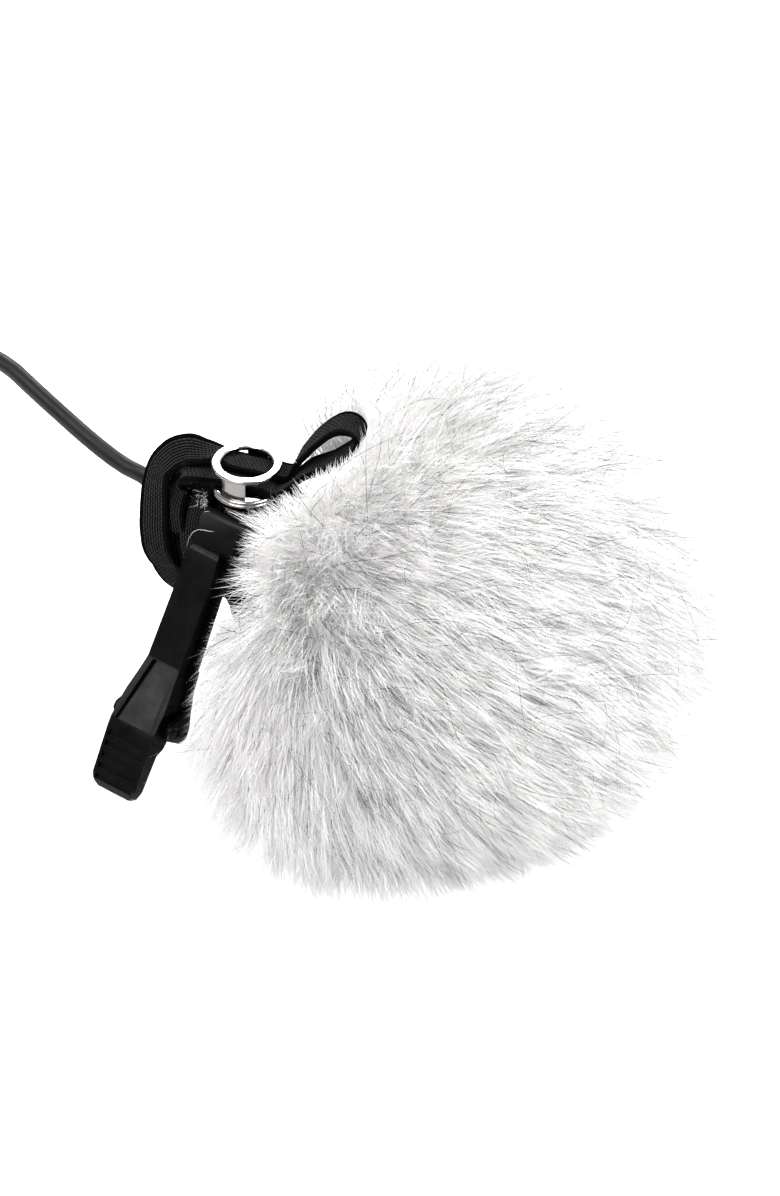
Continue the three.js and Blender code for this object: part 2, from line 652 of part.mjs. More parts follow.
// Lever blank: the plan outline and the side profile intersected.
function leverBlank() {
  // [half width, p]
  const plan = [
    [1.9, 2.5], [2.5, 2.7], [2.95, 3.3], [3.25, 5.5], [3.32, 21.0], [3.65, 23.5],
    [4.2, 26.5], [4.4, 28.2], [4.5, 31], [4.5, 40.4], [4.0, 41.7], [3.1, 42.3],
  ];
  const top = [
    [2.45, 14.75], [2.9, 15.25], [3.8, 15.5], [11, 15.15], [21.2, 15.05],
    [31.6, 16.75], PAD_START, PAD_END, [42.25, 15.3],
  ];
  const underside = [
    [42.25, 14.5], [34.5, 14.3], [33.2, 13.4], [31.0, 13.1],
    [29.0, 12.55], [26.5, 12.55], [4.5, 14.25], [2.45, 14.3],
  ];
  const side = acrossClip([...top, ...underside], -CLEAR_HALF, CLEAR_HALF);
  return clipPlan(plan, 6, 20).intersect(side);
}

function gripGrooves() {
  const [startP, startR] = PAD_START;
  const slope = (PAD_END[1] - startR) / (PAD_END[0] - startP);
  return Array.from({ length: 5 }, (_, i) => {
    const p = 33.9 + PROFILE_P + i * 1.75;
    const top = startR + PROFILE_R + (p - startP) * slope;
    return box(CLIP_Q - 3.9, CLIP_Q + 3.9, p - 0.42, p + 0.42, top - 0.38, top + 2);
  });
}

function buildLever() {
  const narrowHollow = acrossClip(
    [[6, 10], [26.2, 10], [26.2, 13.4], [20, 13.7], [6, 14.15]], -2.35, 2.35,
  );
  const springRoom = acrossClip(
    [[28.45, 10], [34.2, 10], [33.6, 13.6], [32.15, 13.9], [28.45, 13.9]],
    -SPRING_ROOM_HALF, SPRING_ROOM_HALF,
  );
  // Recess in the top, widening and rising towards the ridge.
  const recess = prism(
    [
      [CLIP_Q - 2.15, 21.2], [CLIP_Q + 2.15, 21.2],
      [CLIP_Q + 3.7, 31.85], [CLIP_Q - 3.7, 31.85],
    ],
    6, 20,
  ).intersect(
    acrossClip([[20.8, 14.35], [31.6, 16.35], [31.6, 20], [20.8, 20]], -CLEAR_HALF, CLEAR_HALF),
  );
  const shape = cut(
    leverBlank(),
    narrowHollow,
    aboutPin(SPRING_ROOM_HALF, 1.85),
    springRoom,
    recess,
    ...gripGrooves(),
    aboutPin(HOLE_HALF, PIN_RAD + 0.25),
  );
  piece("clip_lever", shape, MATERIAL.lever, clipGroup);
}

// Torsion spring round the pin.
function buildSpring() {
  const turns = 3.5;
  const radius = 1.3;
  const length = 3.8;
  const steps = 48;
  const coil = Array.from({ length: steps + 1 }, (_, i) => {
    const angle = Math.PI * 0.5 + (i / steps) * turns * 2 * Math.PI;
    return vec(
      CLIP_Q - length / 2 + (length * i) / steps,
      PIN_P + radius * Math.cos(angle),
      PIN_R + radius * Math.sin(angle),
    );
  });
  const shape = swept(coil, { outer: 0.22, sides: 5, steps });
  piece("clip_spring", shape, MATERIAL.spring, clipGroup);
}

// Split ring that grips the microphone, with its stem up to the jaw; in mic axes.
function buildHolder() {
  const band = ring(CLIP_Q - 2.5, CLIP_Q + 2.5, 4.5, 5.6, 24);
  const split = prism([[0, 0], [4.2, -9], [-4.2, -9]], CLIP_Q - 4, CLIP_Q + 4);
  const stem = box(-1.6, 1.6, 5.0, 10.95, CLIP_Q - 1.5, CLIP_Q + 1.5);
  piece("mic_holder", band.subtract(split).add(stem), MATERIAL.holder, micGroup);
}

// ---- assembly ----
buildPullLoop();
buildUpperRing();
buildLowerRing();
buildFur();
buildBacking();
buildCuff();
buildStrapTurns();
buildHousing();
buildGrille();
buildCapsule();
buildFoam();
buildCableBoot();
buildCable();
buildPlug();
buildJaw();
piece("clip_pin", aboutPin(PIN_HALF, PIN_RAD), MATERIAL.pin, clipGroup);
buildLever();
buildSpring();
buildHolder();

export default root;
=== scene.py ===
# A small clip microphone in a round fur windshield. A knitted cuff and two turns of ribbed
# elastic hold the fur round its neck, and the elastic runs on through a metal slider into a
# pull loop. The fur ball stands on z = 0, centred on the z axis; +x is right and +y is away
# as the camera sees it. Lengths are in mm until a mesh is made.
import json
import math

import bmesh
import bpy
import numpy as np
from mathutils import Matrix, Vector
from mathutils.bvhtree import BVHTree


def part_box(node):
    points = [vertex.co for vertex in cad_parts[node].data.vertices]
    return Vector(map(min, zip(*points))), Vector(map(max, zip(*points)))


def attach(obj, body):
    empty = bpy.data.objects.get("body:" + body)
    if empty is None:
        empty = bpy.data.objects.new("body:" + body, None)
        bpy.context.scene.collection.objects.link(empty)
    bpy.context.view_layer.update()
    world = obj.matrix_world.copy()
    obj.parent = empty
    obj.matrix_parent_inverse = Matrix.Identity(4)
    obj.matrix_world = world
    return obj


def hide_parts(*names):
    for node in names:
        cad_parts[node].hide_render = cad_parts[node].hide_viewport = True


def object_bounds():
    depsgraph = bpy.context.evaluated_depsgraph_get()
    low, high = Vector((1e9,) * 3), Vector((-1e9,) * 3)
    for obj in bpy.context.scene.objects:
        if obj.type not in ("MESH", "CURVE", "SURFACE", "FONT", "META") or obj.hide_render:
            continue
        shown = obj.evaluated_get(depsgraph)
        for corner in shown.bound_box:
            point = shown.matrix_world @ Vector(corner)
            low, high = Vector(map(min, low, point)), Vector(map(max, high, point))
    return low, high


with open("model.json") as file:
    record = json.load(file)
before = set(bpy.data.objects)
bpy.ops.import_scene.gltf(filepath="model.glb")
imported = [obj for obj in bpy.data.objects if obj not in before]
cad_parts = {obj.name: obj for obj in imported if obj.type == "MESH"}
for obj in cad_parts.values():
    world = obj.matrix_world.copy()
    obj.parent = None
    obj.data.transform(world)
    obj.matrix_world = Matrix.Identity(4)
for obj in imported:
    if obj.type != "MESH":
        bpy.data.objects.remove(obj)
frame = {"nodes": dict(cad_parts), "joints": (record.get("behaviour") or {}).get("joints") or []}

CAD_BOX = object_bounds()
NODES = frame["nodes"]
rng = np.random.default_rng(11)


# ------------------------------------------------------------------ measuring the CAD pieces
def unit(v):
    v = np.asarray(v, float)
    return v / np.maximum(np.linalg.norm(v, axis=-1, keepdims=True), 1e-12)


def read_vectors(mesh, field="co"):
    values = np.zeros(len(mesh.vertices) * 3, np.float32)
    mesh.vertices.foreach_get(field, values)
    return values.reshape(-1, 3).astype(float)


def verts(node):
    return read_vectors(NODES[node].data) * 1000.0


fur_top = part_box("fur_cover")[1]
BALL = np.array([0.0, 0.0, fur_top.z * 1000 - fur_top.x * 1000])  # centre of the fur ball

front_turn, rear_turn = verts("strap_turn_front"), verts("strap_turn_rear")
front_middle, rear_middle = (
    np.unique(np.round(turn, 3), axis=0).mean(0) for turn in (front_turn, rear_turn)
)
AXIS = unit(rear_middle - front_middle)  # along the neck, from the front turn to the rear one
NECK = (rear_middle + front_middle) / 2
TURN_OUT = np.linalg.norm(np.cross(front_turn - NECK, AXIS), axis=1).max()  # outer radius

lower_ring = np.round(verts("slider_lower_ring"), 3)
SLIDER = (lower_ring.min(0) + lower_ring.max(0)) / 2
SLIDER[2] = (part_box("slider_upper_ring")[1].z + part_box("slider_lower_ring")[0].z) * 500
RUN = unit(frame["joints"][1]["axis"])  # the way the strap runs through the slider
SIDE = np.array([-RUN[1], RUN[0], 0.0])
UP = np.array([0.0, 0.0, 1.0])
NECK_UP = unit(UP - UP.dot(AXIS) * AXIS)  # square to the neck, as upright as it can be
NECK_SIDE = np.cross(AXIS, NECK_UP)
TO_NECK = unit(NECK - BALL)
VIEW = np.array([0.0, 0.80902, -0.58779])  # the camera looks this way
VIEW_UP = np.array([0.0, -VIEW[2], VIEW[1]])


def by_view(right, up, away):
    """A point off the slider's centre, measured as the camera sees it."""
    return SLIDER + np.array([right, 0, 0]) + up * VIEW_UP + away * VIEW


def by_slider(along, side, up):
    return SLIDER + along * RUN + side * SIDE + np.array([0, 0, up])


def on_turn(degrees, radius, axial):
    a = math.radians(degrees)
    return NECK + AXIS * axial + radius * (math.cos(a) * NECK_UP - math.sin(a) * NECK_SIDE)


def neck_radial(angle):
    return np.cos(angle)[:, None] * NECK_UP - np.sin(angle)[:, None] * NECK_SIDE


# ------------------------------------------------------------------ mesh and curve helpers
def new_mesh(name, points, flat_faces, sizes):
    """A smooth object from mm points, face corners in one row, and each face's corner count."""
    mesh = bpy.data.meshes.new(name)
    co = (np.asarray(points) * 0.001).astype(np.float32)
    mesh.vertices.add(len(co))
    mesh.vertices.foreach_set("co", co.ravel())
    corners = np.asarray(flat_faces, np.int32).ravel()
    sizes = np.asarray(sizes, np.int32)
    mesh.loops.add(len(corners))
    mesh.loops.foreach_set("vertex_index", corners)
    mesh.polygons.add(len(sizes))
    starts = np.zeros(len(sizes), np.int32)
    starts[1:] = np.cumsum(sizes)[:-1]
    mesh.polygons.foreach_set("loop_start", starts)
    mesh.update(calc_edges=True)
    mesh.validate()
    smooth_faces(mesh)
    mesh.update()
    return link_object(name, mesh)


def link_object(name, data):
    obj = bpy.data.objects.new(name, data)
    bpy.context.scene.collection.objects.link(obj)
    return obj


def smooth_faces(mesh):
    mesh.polygons.foreach_set("use_smooth", np.ones(len(mesh.polygons), dtype=bool))


def point_attribute(mesh, name, values):
    attribute = mesh.attributes.new(name, "FLOAT", "POINT")
    attribute.data.foreach_set("value", values.ravel().astype(np.float32))


def belongs(obj, stands_for=None):
    """Attaches a piece to the windshield body, and hides the CAD piece it stands for."""
    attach(obj, "windshield")
    if stands_for:
        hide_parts(stands_for)


def catmull(points, count):
    p = np.asarray(points, float)
    p = np.vstack([2 * p[0] - p[1], p, 2 * p[-1] - p[-2]])
    spans = len(p) - 3
    t = np.linspace(0, 1, max(2, count // spans), endpoint=False)[:, None]
    out = []
    for i in range(spans):
        a, b, c, d = p[i : i + 4]
        square = (2 * a - 5 * b + 4 * c - d) * t**2
        cube = (3 * b - a - 3 * c + d) * t**3
        out.append(0.5 * ((2 * b) + (c - a) * t + square + cube))
    out.append(p[-2][None])
    return np.vstack(out)


def resample(wanted, known, points):
    return np.stack([np.interp(wanted, known, points[:, axis]) for axis in range(3)], 1)


# ------------------------------------------------------------------ shader helpers
def shader(name):
    material = bpy.data.materials.new(name)
    material.use_nodes = True
    tree = material.node_tree
    surface = next(node for node in tree.nodes if node.type == "BSDF_PRINCIPLED")
    return material, tree, surface


def feed(tree, node, inputs):
    """Fills a node's inputs: sockets are linked, plain values are stored."""
    for key, value in inputs.items():
        if isinstance(value, bpy.types.NodeSocket):
            tree.links.new(value, node.inputs[key])
        else:
            node.inputs[key].default_value = value


def add_node(tree, kind, inputs):
    node = tree.nodes.new(kind)
    feed(tree, node, inputs)
    return node


def noise(tree, scale, detail, roughness=0.55, distortion=0.0):
    place = add_node(tree, "ShaderNodeTexCoord", {}).outputs["Object"]
    return add_node(tree, "ShaderNodeTexNoise", {
        "Scale": scale, "Detail": detail, "Roughness": roughness, "Distortion": distortion,
        "Vector": place,
    }).outputs["Fac"]


def ramp(tree, factor, stops):
    node = add_node(tree, "ShaderNodeValToRGB", {"Fac": factor})
    elements = node.color_ramp.elements
    while len(elements) < len(stops):
        elements.new(0.5)
    for element, (position, color) in zip(elements, stops):
        element.position = position
        element.color = (*color, 1)
    return node.outputs["Color"]


def ranged(tree, factor, low, high):
    """Spreads the middle of a noise over low to high."""
    return add_node(tree, "ShaderNodeMapRange", {
        "From Min": 0.3, "From Max": 0.7, "To Min": low, "To Max": high, "Value": factor,
    }).outputs["Result"]


def maths(tree, operation, *values):
    node = add_node(tree, "ShaderNodeMath", dict(enumerate(values)))
    node.operation = operation
    return node.outputs[0]


def attribute_value(tree, name):
    node = add_node(tree, "ShaderNodeAttribute", {})
    node.attribute_name = name
    return node.outputs["Fac"]


def bump(tree, height, strength, distance_mm):
    return add_node(tree, "ShaderNodeBump", {
        "Strength": strength, "Distance": distance_mm * 0.001, "Height": height,
    }).outputs["Normal"]


def middle_tone(first, second):
    return tuple((a + b) / 2 for a, b in zip(first, second))


# ------------------------------------------------------------------ materials
def worn(name, dark, light, rough, metallic, drift_scale, grain_scale, grain_mm,
         grain_strength, specular):
    """Two tones drifting over the surface, uneven gloss and a fine grain."""
    material, tree, surface = shader(name)
    drift = noise(tree, drift_scale, detail=5.0)
    gloss = noise(tree, drift_scale * 2.3, detail=3.0)
    feed(tree, surface, {
        "Base Color": ramp(tree, drift, [(0.3, dark), (0.72, light)]),
        "Roughness": ranged(tree, gloss, *rough),
        "Metallic": metallic,
        "Specular IOR Level": specular,
        "Normal": bump(tree, noise(tree, grain_scale, detail=2.0), grain_strength, grain_mm),
    })
    return material


def nickel_with_painted_wall_shade(name, flat, edge):
    """Bright plating with painted shade: faces that point up or down are bright, the narrow steep
    walls between them are painted darker as shade and dark reflection.
    """
    material, tree, surface = shader(name)
    # the steepness of the surface picks the tone: painted shade and dark reflection on the walls
    geometry = add_node(tree, "ShaderNodeNewGeometry", {})
    split = add_node(tree, "ShaderNodeSeparateXYZ", {0: geometry.outputs["Normal"]})
    level = maths(tree, "ABSOLUTE", split.outputs["Z"])
    centred = maths(tree, "SUBTRACT", noise(tree, 300, detail=4.0), 0.5)
    factor = maths(tree, "ADD", level, maths(tree, "MULTIPLY", centred, 0.25))
    stops = [(0.35, edge), (0.62, middle_tone(edge, flat)), (0.9, flat)]
    feed(tree, surface, {
        "Base Color": ramp(tree, factor, stops),
        "Metallic": 1.0,
        "Roughness": ranged(tree, noise(tree, 700, detail=3.0), low=0.08, high=0.18),
        "Normal": bump(tree, noise(tree, 4200, detail=2.0), strength=0.25, distance_mm=0.004),
    })
    return material


def elastic_material(name, dark, light, ribbed=False):
    """Black yarn: fine knit loops in tone and bump, with a little fuzz sheen; on ribbed elastic
    the rib crests are painted lighter and the grooves darker, painted highlight and shade.
    """
    material, tree, surface = shader(name)
    loops = noise(tree, 1900, detail=3.0, roughness=0.6, distortion=0.6)
    patches = noise(tree, 380, detail=4.0, roughness=0.6)
    mix = maths(tree, "ADD", maths(tree, "MULTIPLY", loops, 0.65),
                maths(tree, "MULTIPLY", patches, 0.35))
    # ribbed: rib crests painted lighter as highlight, grooves darker as painted shade
    if ribbed:
        rib = attribute_value(tree, "rib")
        mix = maths(tree, "ADD", maths(tree, "MULTIPLY", mix, 0.45),
                    maths(tree, "MULTIPLY", rib, 0.52))
    stops = [(0.32, dark), (0.55, middle_tone(dark, light)), (0.75, light)]
    feed(tree, surface, {
        "Base Color": ramp(tree, mix, stops),
        "Roughness": ranged(tree, patches, low=0.62, high=0.86),
        "Specular IOR Level": 0.035,
        "Sheen Weight": 0.01,
        "Sheen Roughness": 0.4,
        "Sheen Tint": (0.8, 0.8, 0.85, 1),
        "Normal": bump(tree, loops, strength=0.75, distance_mm=0.05),
    })
    return material


def fur_material(name, stops, roughness=0.5, specular=0.35):
    """Colour follows each hair's stored tone, and drifts a little from place to place."""
    material, tree, surface = shader(name)
    tone = attribute_value(tree, "tone")
    centred = maths(tree, "SUBTRACT", noise(tree, 90, detail=3.0), 0.5)
    factor = maths(tree, "ADD", tone, maths(tree, "MULTIPLY", centred, 0.22))
    feed(tree, surface, {
        "Base Color": ramp(tree, factor, stops),
        "Roughness": roughness,
        "Specular IOR Level": specular,
    })
    return material


# key: material name, dark tone, light tone,
#      roughness range, metallic, drift scale, grain scale, grain mm, grain strength, specular
WORN = {
    "plastic": ("satin_moulded_plastic", (0.0010, 0.0010, 0.0011), (0.0021, 0.0020, 0.0021),
                (0.24, 0.36), 0.0, 160, 5200, 0.008, 0.35, 0.075),
    "plastic_in": ("satin_moulded_plastic_inner", (0.0014, 0.0014, 0.0015),
                   (0.0025, 0.0025, 0.0025),
                   (0.40, 0.52), 0.0, 160, 5200, 0.008, 0.35, 0.08),
    "pin": ("blackened_steel_pin", (0.004, 0.004, 0.0045), (0.009, 0.009, 0.0095),
            (0.3, 0.42), 0.6, 400, 5600, 0.004, 0.5, 0.1),
    "steel": ("spring_steel", (0.42, 0.42, 0.43), (0.62, 0.62, 0.63),
              (0.22, 0.36), 1.0, 500, 6000, 0.004, 0.5, 0.5),
    "housing": ("satin_black_anodised", (0.008, 0.008, 0.0085), (0.016, 0.016, 0.017),
                (0.32, 0.46), 0.4, 300, 5000, 0.004, 0.5, 0.25),
    "mesh": ("fine_woven_mesh", (0.18, 0.18, 0.18), (0.5, 0.5, 0.5),
             (0.35, 0.5), 1.0, 6000, 9000, 0.02, 0.5, 0.5),
    "can": ("drawn_aluminium_can", (0.55, 0.55, 0.54), (0.74, 0.74, 0.72),
            (0.25, 0.4), 1.0, 400, 5000, 0.004, 0.5, 0.5),
    "gold": ("gold_plated_contact", (0.72, 0.50, 0.20), (0.90, 0.68, 0.33),
             (0.12, 0.24), 1.0, 420, 5600, 0.003, 0.5, 0.5),
    "pale": ("pale_film", (0.70, 0.67, 0.58), (0.86, 0.84, 0.76),
             (0.4, 0.55), 0.0, 500, 6000, 0.003, 0.5, 0.5),
    "board": ("green_solder_mask", (0.02, 0.12, 0.05), (0.05, 0.24, 0.11),
              (0.25, 0.4), 0.0, 700, 5000, 0.004, 0.5, 0.5),
    "rubber": ("matte_moulded_rubber", (0.006, 0.006, 0.006), (0.012, 0.012, 0.012),
               (0.55, 0.72), 0.0, 260, 4200, 0.012, 0.5, 0.25),
    "foam": ("open_cell_foam", (0.012, 0.012, 0.013), (0.06, 0.06, 0.062),
             (0.85, 0.97), 0.0, 1500, 2200, 0.16, 0.9, 0.5),
    "core": ("stranded_copper", (0.45, 0.22, 0.12), (0.75, 0.42, 0.26),
             (0.3, 0.5), 0.8, 900, 5000, 0.006, 0.5, 0.5),
    "backing": ("knitted_backing_cloth", (0.42, 0.41, 0.40), (0.66, 0.65, 0.63),
                (0.85, 0.95), 0.0, 700, 2400, 0.06, 0.8, 0.5),
    "cable": ("matte_cable_jacket", (0.0045, 0.0045, 0.005), (0.0085, 0.0085, 0.009),
              (0.36, 0.5), 0.0, 200, 3800, 0.006, 0.3, 0.2),
}
MATERIALS = {key: worn(*row) for key, row in WORN.items()}
# edge is the painted shade and dark reflection on the steep walls of the rings
MATERIALS["nickel"] = nickel_with_painted_wall_shade("bright_nickel_painted_wall_shade", flat=(0.70, 0.69, 0.68),
                             edge=(0.17, 0.16, 0.153))
# light is the painted highlight tone of the rib crests
MATERIALS["elastic"] = elastic_material("ribbed_black_elastic", dark=(0.0004, 0.0004, 0.0005),
                                        light=(0.046, 0.046, 0.049), ribbed=True)
MATERIALS["knit"] = elastic_material("black_rib_knit", dark=(0.0008, 0.0008, 0.0009),
                                     light=(0.0034, 0.0034, 0.0037))
MATERIALS["pile"] = fur_material("white_fur_pile", [
    (0.0, (0.985, 0.98, 0.975)), (0.5, (0.97, 0.96, 0.952)),
    (0.8, (0.66, 0.645, 0.64)), (1.0, (0.30, 0.29, 0.29))])
# grey painted in as the shade of backlit hairs at the outline
MATERIALS["tips"] = fur_material("grey_fur_tips", [
    (0.0, (0.55, 0.54, 0.54)), (0.6, (0.24, 0.235, 0.235)), (1.0, (0.10, 0.098, 0.098))])
MATERIALS["guard"] = fur_material("dark_guard_hair", [
    (0.0, (0.12, 0.10, 0.085)), (0.5, (0.045, 0.038, 0.034)), (1.0, (0.02, 0.017, 0.016))],
    roughness=0.42, specular=0.4)
MATERIALS["stray"] = fur_material("stray_white_hair", [
    (0.0, (0.9, 0.89, 0.87)), (1.0, (0.7, 0.69, 0.68))], roughness=0.45)
MATERIALS["under"] = fur_material("dense_fur_underlayer", [
    (0.0, (0.96, 0.955, 0.95)), (1.0, (0.62, 0.60, 0.59))], roughness=0.9, specular=0.1)


# ------------------------------------------------------------------ CAD pieces kept as they are
# material key: the pieces it covers
PAINTED = {
    "plastic": "clip_jaw clip_lever",
    "plastic_in": "mic_holder",
    "pin": "clip_pin",
    "steel": "clip_spring",
    "housing": "mic_housing mic_grille plug_shell",
    "mesh": "acoustic_mesh",
    "can": "capsule_can back_plate",
    "gold": "diaphragm_ring diaphragm plug_tip plug_ring_front plug_ring_rear plug_sleeve",
    "pale": "diaphragm_spacer insulator_ring",
    "board": "amplifier_board",
    "rubber": "capsule_seat cable_boot plug_insulator_tip plug_insulator_mid "
              "plug_insulator_rear plug_boot",
    "foam": "foam_windscreen",
    "cable": "cable_jacket",
    "core": "cable_core",
    "nickel": "slider_upper_ring slider_lower_ring",
    "backing": "fur_backing",
}
for key, pieces in PAINTED.items():
    for node in pieces.split():
        NODES[node].data.materials.clear()
        NODES[node].data.materials.append(MATERIALS[key])

# piece: width of its rounded edges in mm, None where it is only shaded smooth
ROUNDED = {
    "clip_jaw": 0.28, "clip_lever": 0.38, "mic_holder": 0.08, "clip_pin": 0.10,
    "clip_spring": 0.02, "mic_housing": 0.08, "mic_grille": 0.06, "slider_upper_ring": 0.10,
    "slider_lower_ring": 0.10, "cable_boot": 0.08, "plug_tip": 0.05, "plug_ring_front": 0.04,
    "plug_ring_rear": 0.04, "plug_sleeve": 0.05, "plug_shell": 0.12, "plug_boot": 0.12,
    "capsule_can": 0.05, "foam_windscreen": 0.2, "cable_jacket": None,
}


def soften(node, width):
    """Smooth shading and rounded edges, by modifiers only."""
    obj = NODES[node]
    if "custom_normal" in obj.data.attributes:
        obj.data.attributes.remove(obj.data.attributes["custom_normal"])
    smooth_faces(obj.data)
    obj.modifiers.new("join", "WELD").merge_threshold = 1e-6
    if width:
        bevel = obj.modifiers.new("round", "BEVEL")
        bevel.width = width * 0.001
        bevel.segments = 3
        bevel.limit_method = "ANGLE"
        bevel.angle_limit = math.radians(32)
        bevel.use_clamp_overlap = True
    obj.modifiers.new("shade", "WEIGHTED_NORMAL").keep_sharp = False


for node, width in ROUNDED.items():
    soften(node, width)


# ------------------------------------------------------------------ ribbed elastic
STRAP_WIDTH = 6.0
RIBS = 8
BEAD = 0.42  # half width of the bead along each edge
STITCH = 0.62  # length of one knit loop


def section(thick):
    """Closed outline across the strap, with each point's rib height (0 to 1) and rib number."""
    flat_half = STRAP_WIDTH / 2 - BEAD
    x = np.linspace(-flat_half, flat_half, 64)
    inner = STRAP_WIDTH / 2 - 2.1 * BEAD
    pitch = 2 * inner / RIBS
    inside = np.clip((inner - np.abs(x)) / 0.12, 0, 1)
    rib = np.cos(np.pi * (x + inner) / pitch - np.pi / 2) ** 2
    edge = np.exp(-(((np.abs(x) - flat_half) / (BEAD * 0.8)) ** 2))
    y = thick / 2 - 0.27 + inside * 0.25 * rib + edge * 0.22
    angle = np.linspace(np.pi / 2, -np.pi / 2, 9)[1:-1]
    bead_height = thick / 2 - 0.04
    top = np.stack([x, y], 1)
    right = np.stack([flat_half + np.cos(angle) * BEAD, np.sin(angle) * bead_height], 1)
    bottom = np.stack([x[::-1], -y[::-1]], 1)
    left = np.stack([-flat_half - np.cos(angle[::-1]) * BEAD,
                     np.sin(angle[::-1]) * bead_height], 1)
    bead = np.zeros(len(angle))
    height = inside * rib
    number = [np.floor((side + inner) / pitch) for side in (x, x[::-1])]
    return (np.vstack([top, right, bottom, left]),
            np.concatenate([height, bead, height[::-1], bead]),
            np.concatenate([number[0], bead, number[1], bead]))


def ribbon(name, centre, across, width, thick, step, wobble, seed, closed=False):
    """A ribbed band along a centre line; across points over its width at each place."""
    if closed:
        centre, across = np.vstack([centre, centre[:1]]), np.vstack([across, across[:1]])
        width = np.append(width, width[0])
    # even spacing along the strap
    run = np.concatenate([[0], np.cumsum(np.linalg.norm(np.diff(centre, axis=0), axis=1))])
    rings = max(8, int(run[-1] / step))
    t = np.linspace(0, run[-1], rings, endpoint=not closed)
    centre = resample(t, run, centre)
    across = unit(resample(t, run, across))
    width = np.interp(t, run, width)
    if closed:
        tangent = unit(np.roll(centre, -1, 0) - np.roll(centre, 1, 0))
    else:
        tangent = unit(np.gradient(centre, axis=0))
    across = unit(across - (across * tangent).sum(1, keepdims=True) * tangent)
    up = np.cross(tangent, across)

    outline, rib, number = section(thick)
    phase = np.random.default_rng(seed).uniform(0, 6.28, 4)
    drift = 0.6 * np.sin(t[:, None] * 0.7 + phase[0])
    loops = 0.5 + 0.5 * np.sin(2 * np.pi * t[:, None] / STITCH + np.pi * number[None] + drift)
    x = outline[:, 0][None] * (width / STRAP_WIDTH)[:, None]
    y = outline[:, 1][None] + np.sign(outline[:, 1])[None] * rib[None] * 0.12 * (loops - 0.5)
    # slow unevenness of a stretched band
    sway = wobble * (np.sin(t * 0.9 + phase[1]) + 0.6 * np.sin(t * 2.1 + phase[2]))
    sway = sway[:, None] * 0.5
    points = (centre[:, None] + across[:, None] * (x + sway)[..., None]
              + up[:, None] * (y + sway)[..., None])

    size = len(outline)
    rows = np.arange(rings if closed else rings - 1)
    this, following = rows[:, None] * size, ((rows + 1) % rings)[:, None] * size
    k = np.arange(size)[None]
    k2 = (k + 1) % size
    quads = np.stack([this + k, this + k2, following + k2, following + k], -1).reshape(-1, 4)
    flat, sizes = quads.ravel(), np.full(len(quads), 4)
    if not closed:
        ends = np.arange(size)[::-1], (rings - 1) * size + np.arange(size)
        flat = np.concatenate([flat, *ends])
        sizes = np.concatenate([sizes, [size, size]])
    obj = new_mesh(name, points.reshape(-1, 3), flat, sizes)
    # rib heights that the elastic material turns into painted highlight on the crests and painted
    # shade in the grooves
    point_attribute(obj.data, "rib", rib[None] * (0.55 + 0.45 * loops))
    face_outward(obj.data)
    obj.data.materials.append(MATERIALS["elastic"])
    return obj


def face_outward(mesh):
    bm = bmesh.new()
    bm.from_mesh(mesh)
    if bm.calc_volume(signed=True) < 0:
        bmesh.ops.reverse_faces(bm, faces=bm.faces[:])
    bm.to_mesh(mesh)
    bm.free()


def neck_turn(name, node, axial, seed):
    angle = np.radians(np.arange(0, 360, 2.0))
    radius = TURN_OUT - 0.52 + 0.09 * np.cos(2 * angle + seed)
    centre = NECK + AXIS * axial + radius[:, None] * neck_radial(angle)
    centre = centre + AXIS * (0.12 * np.sin(angle * 3 + seed))[:, None]
    turn = ribbon(name, centre, across=np.repeat(AXIS[None], len(angle), 0),
                  width=np.full(len(angle), 5.9), thick=1.0, step=0.10, wobble=0.05,
                  seed=seed, closed=True)
    belongs(turn, node)
    return turn


TURN_OFFSET = 3.12  # each turn's distance from the middle of the neck
TURNS = [
    neck_turn("elastic_turn_rear", "strap_turn_rear", TURN_OFFSET, seed=3),
    neck_turn("elastic_turn_front", "strap_turn_front", -TURN_OFFSET, seed=5),
]

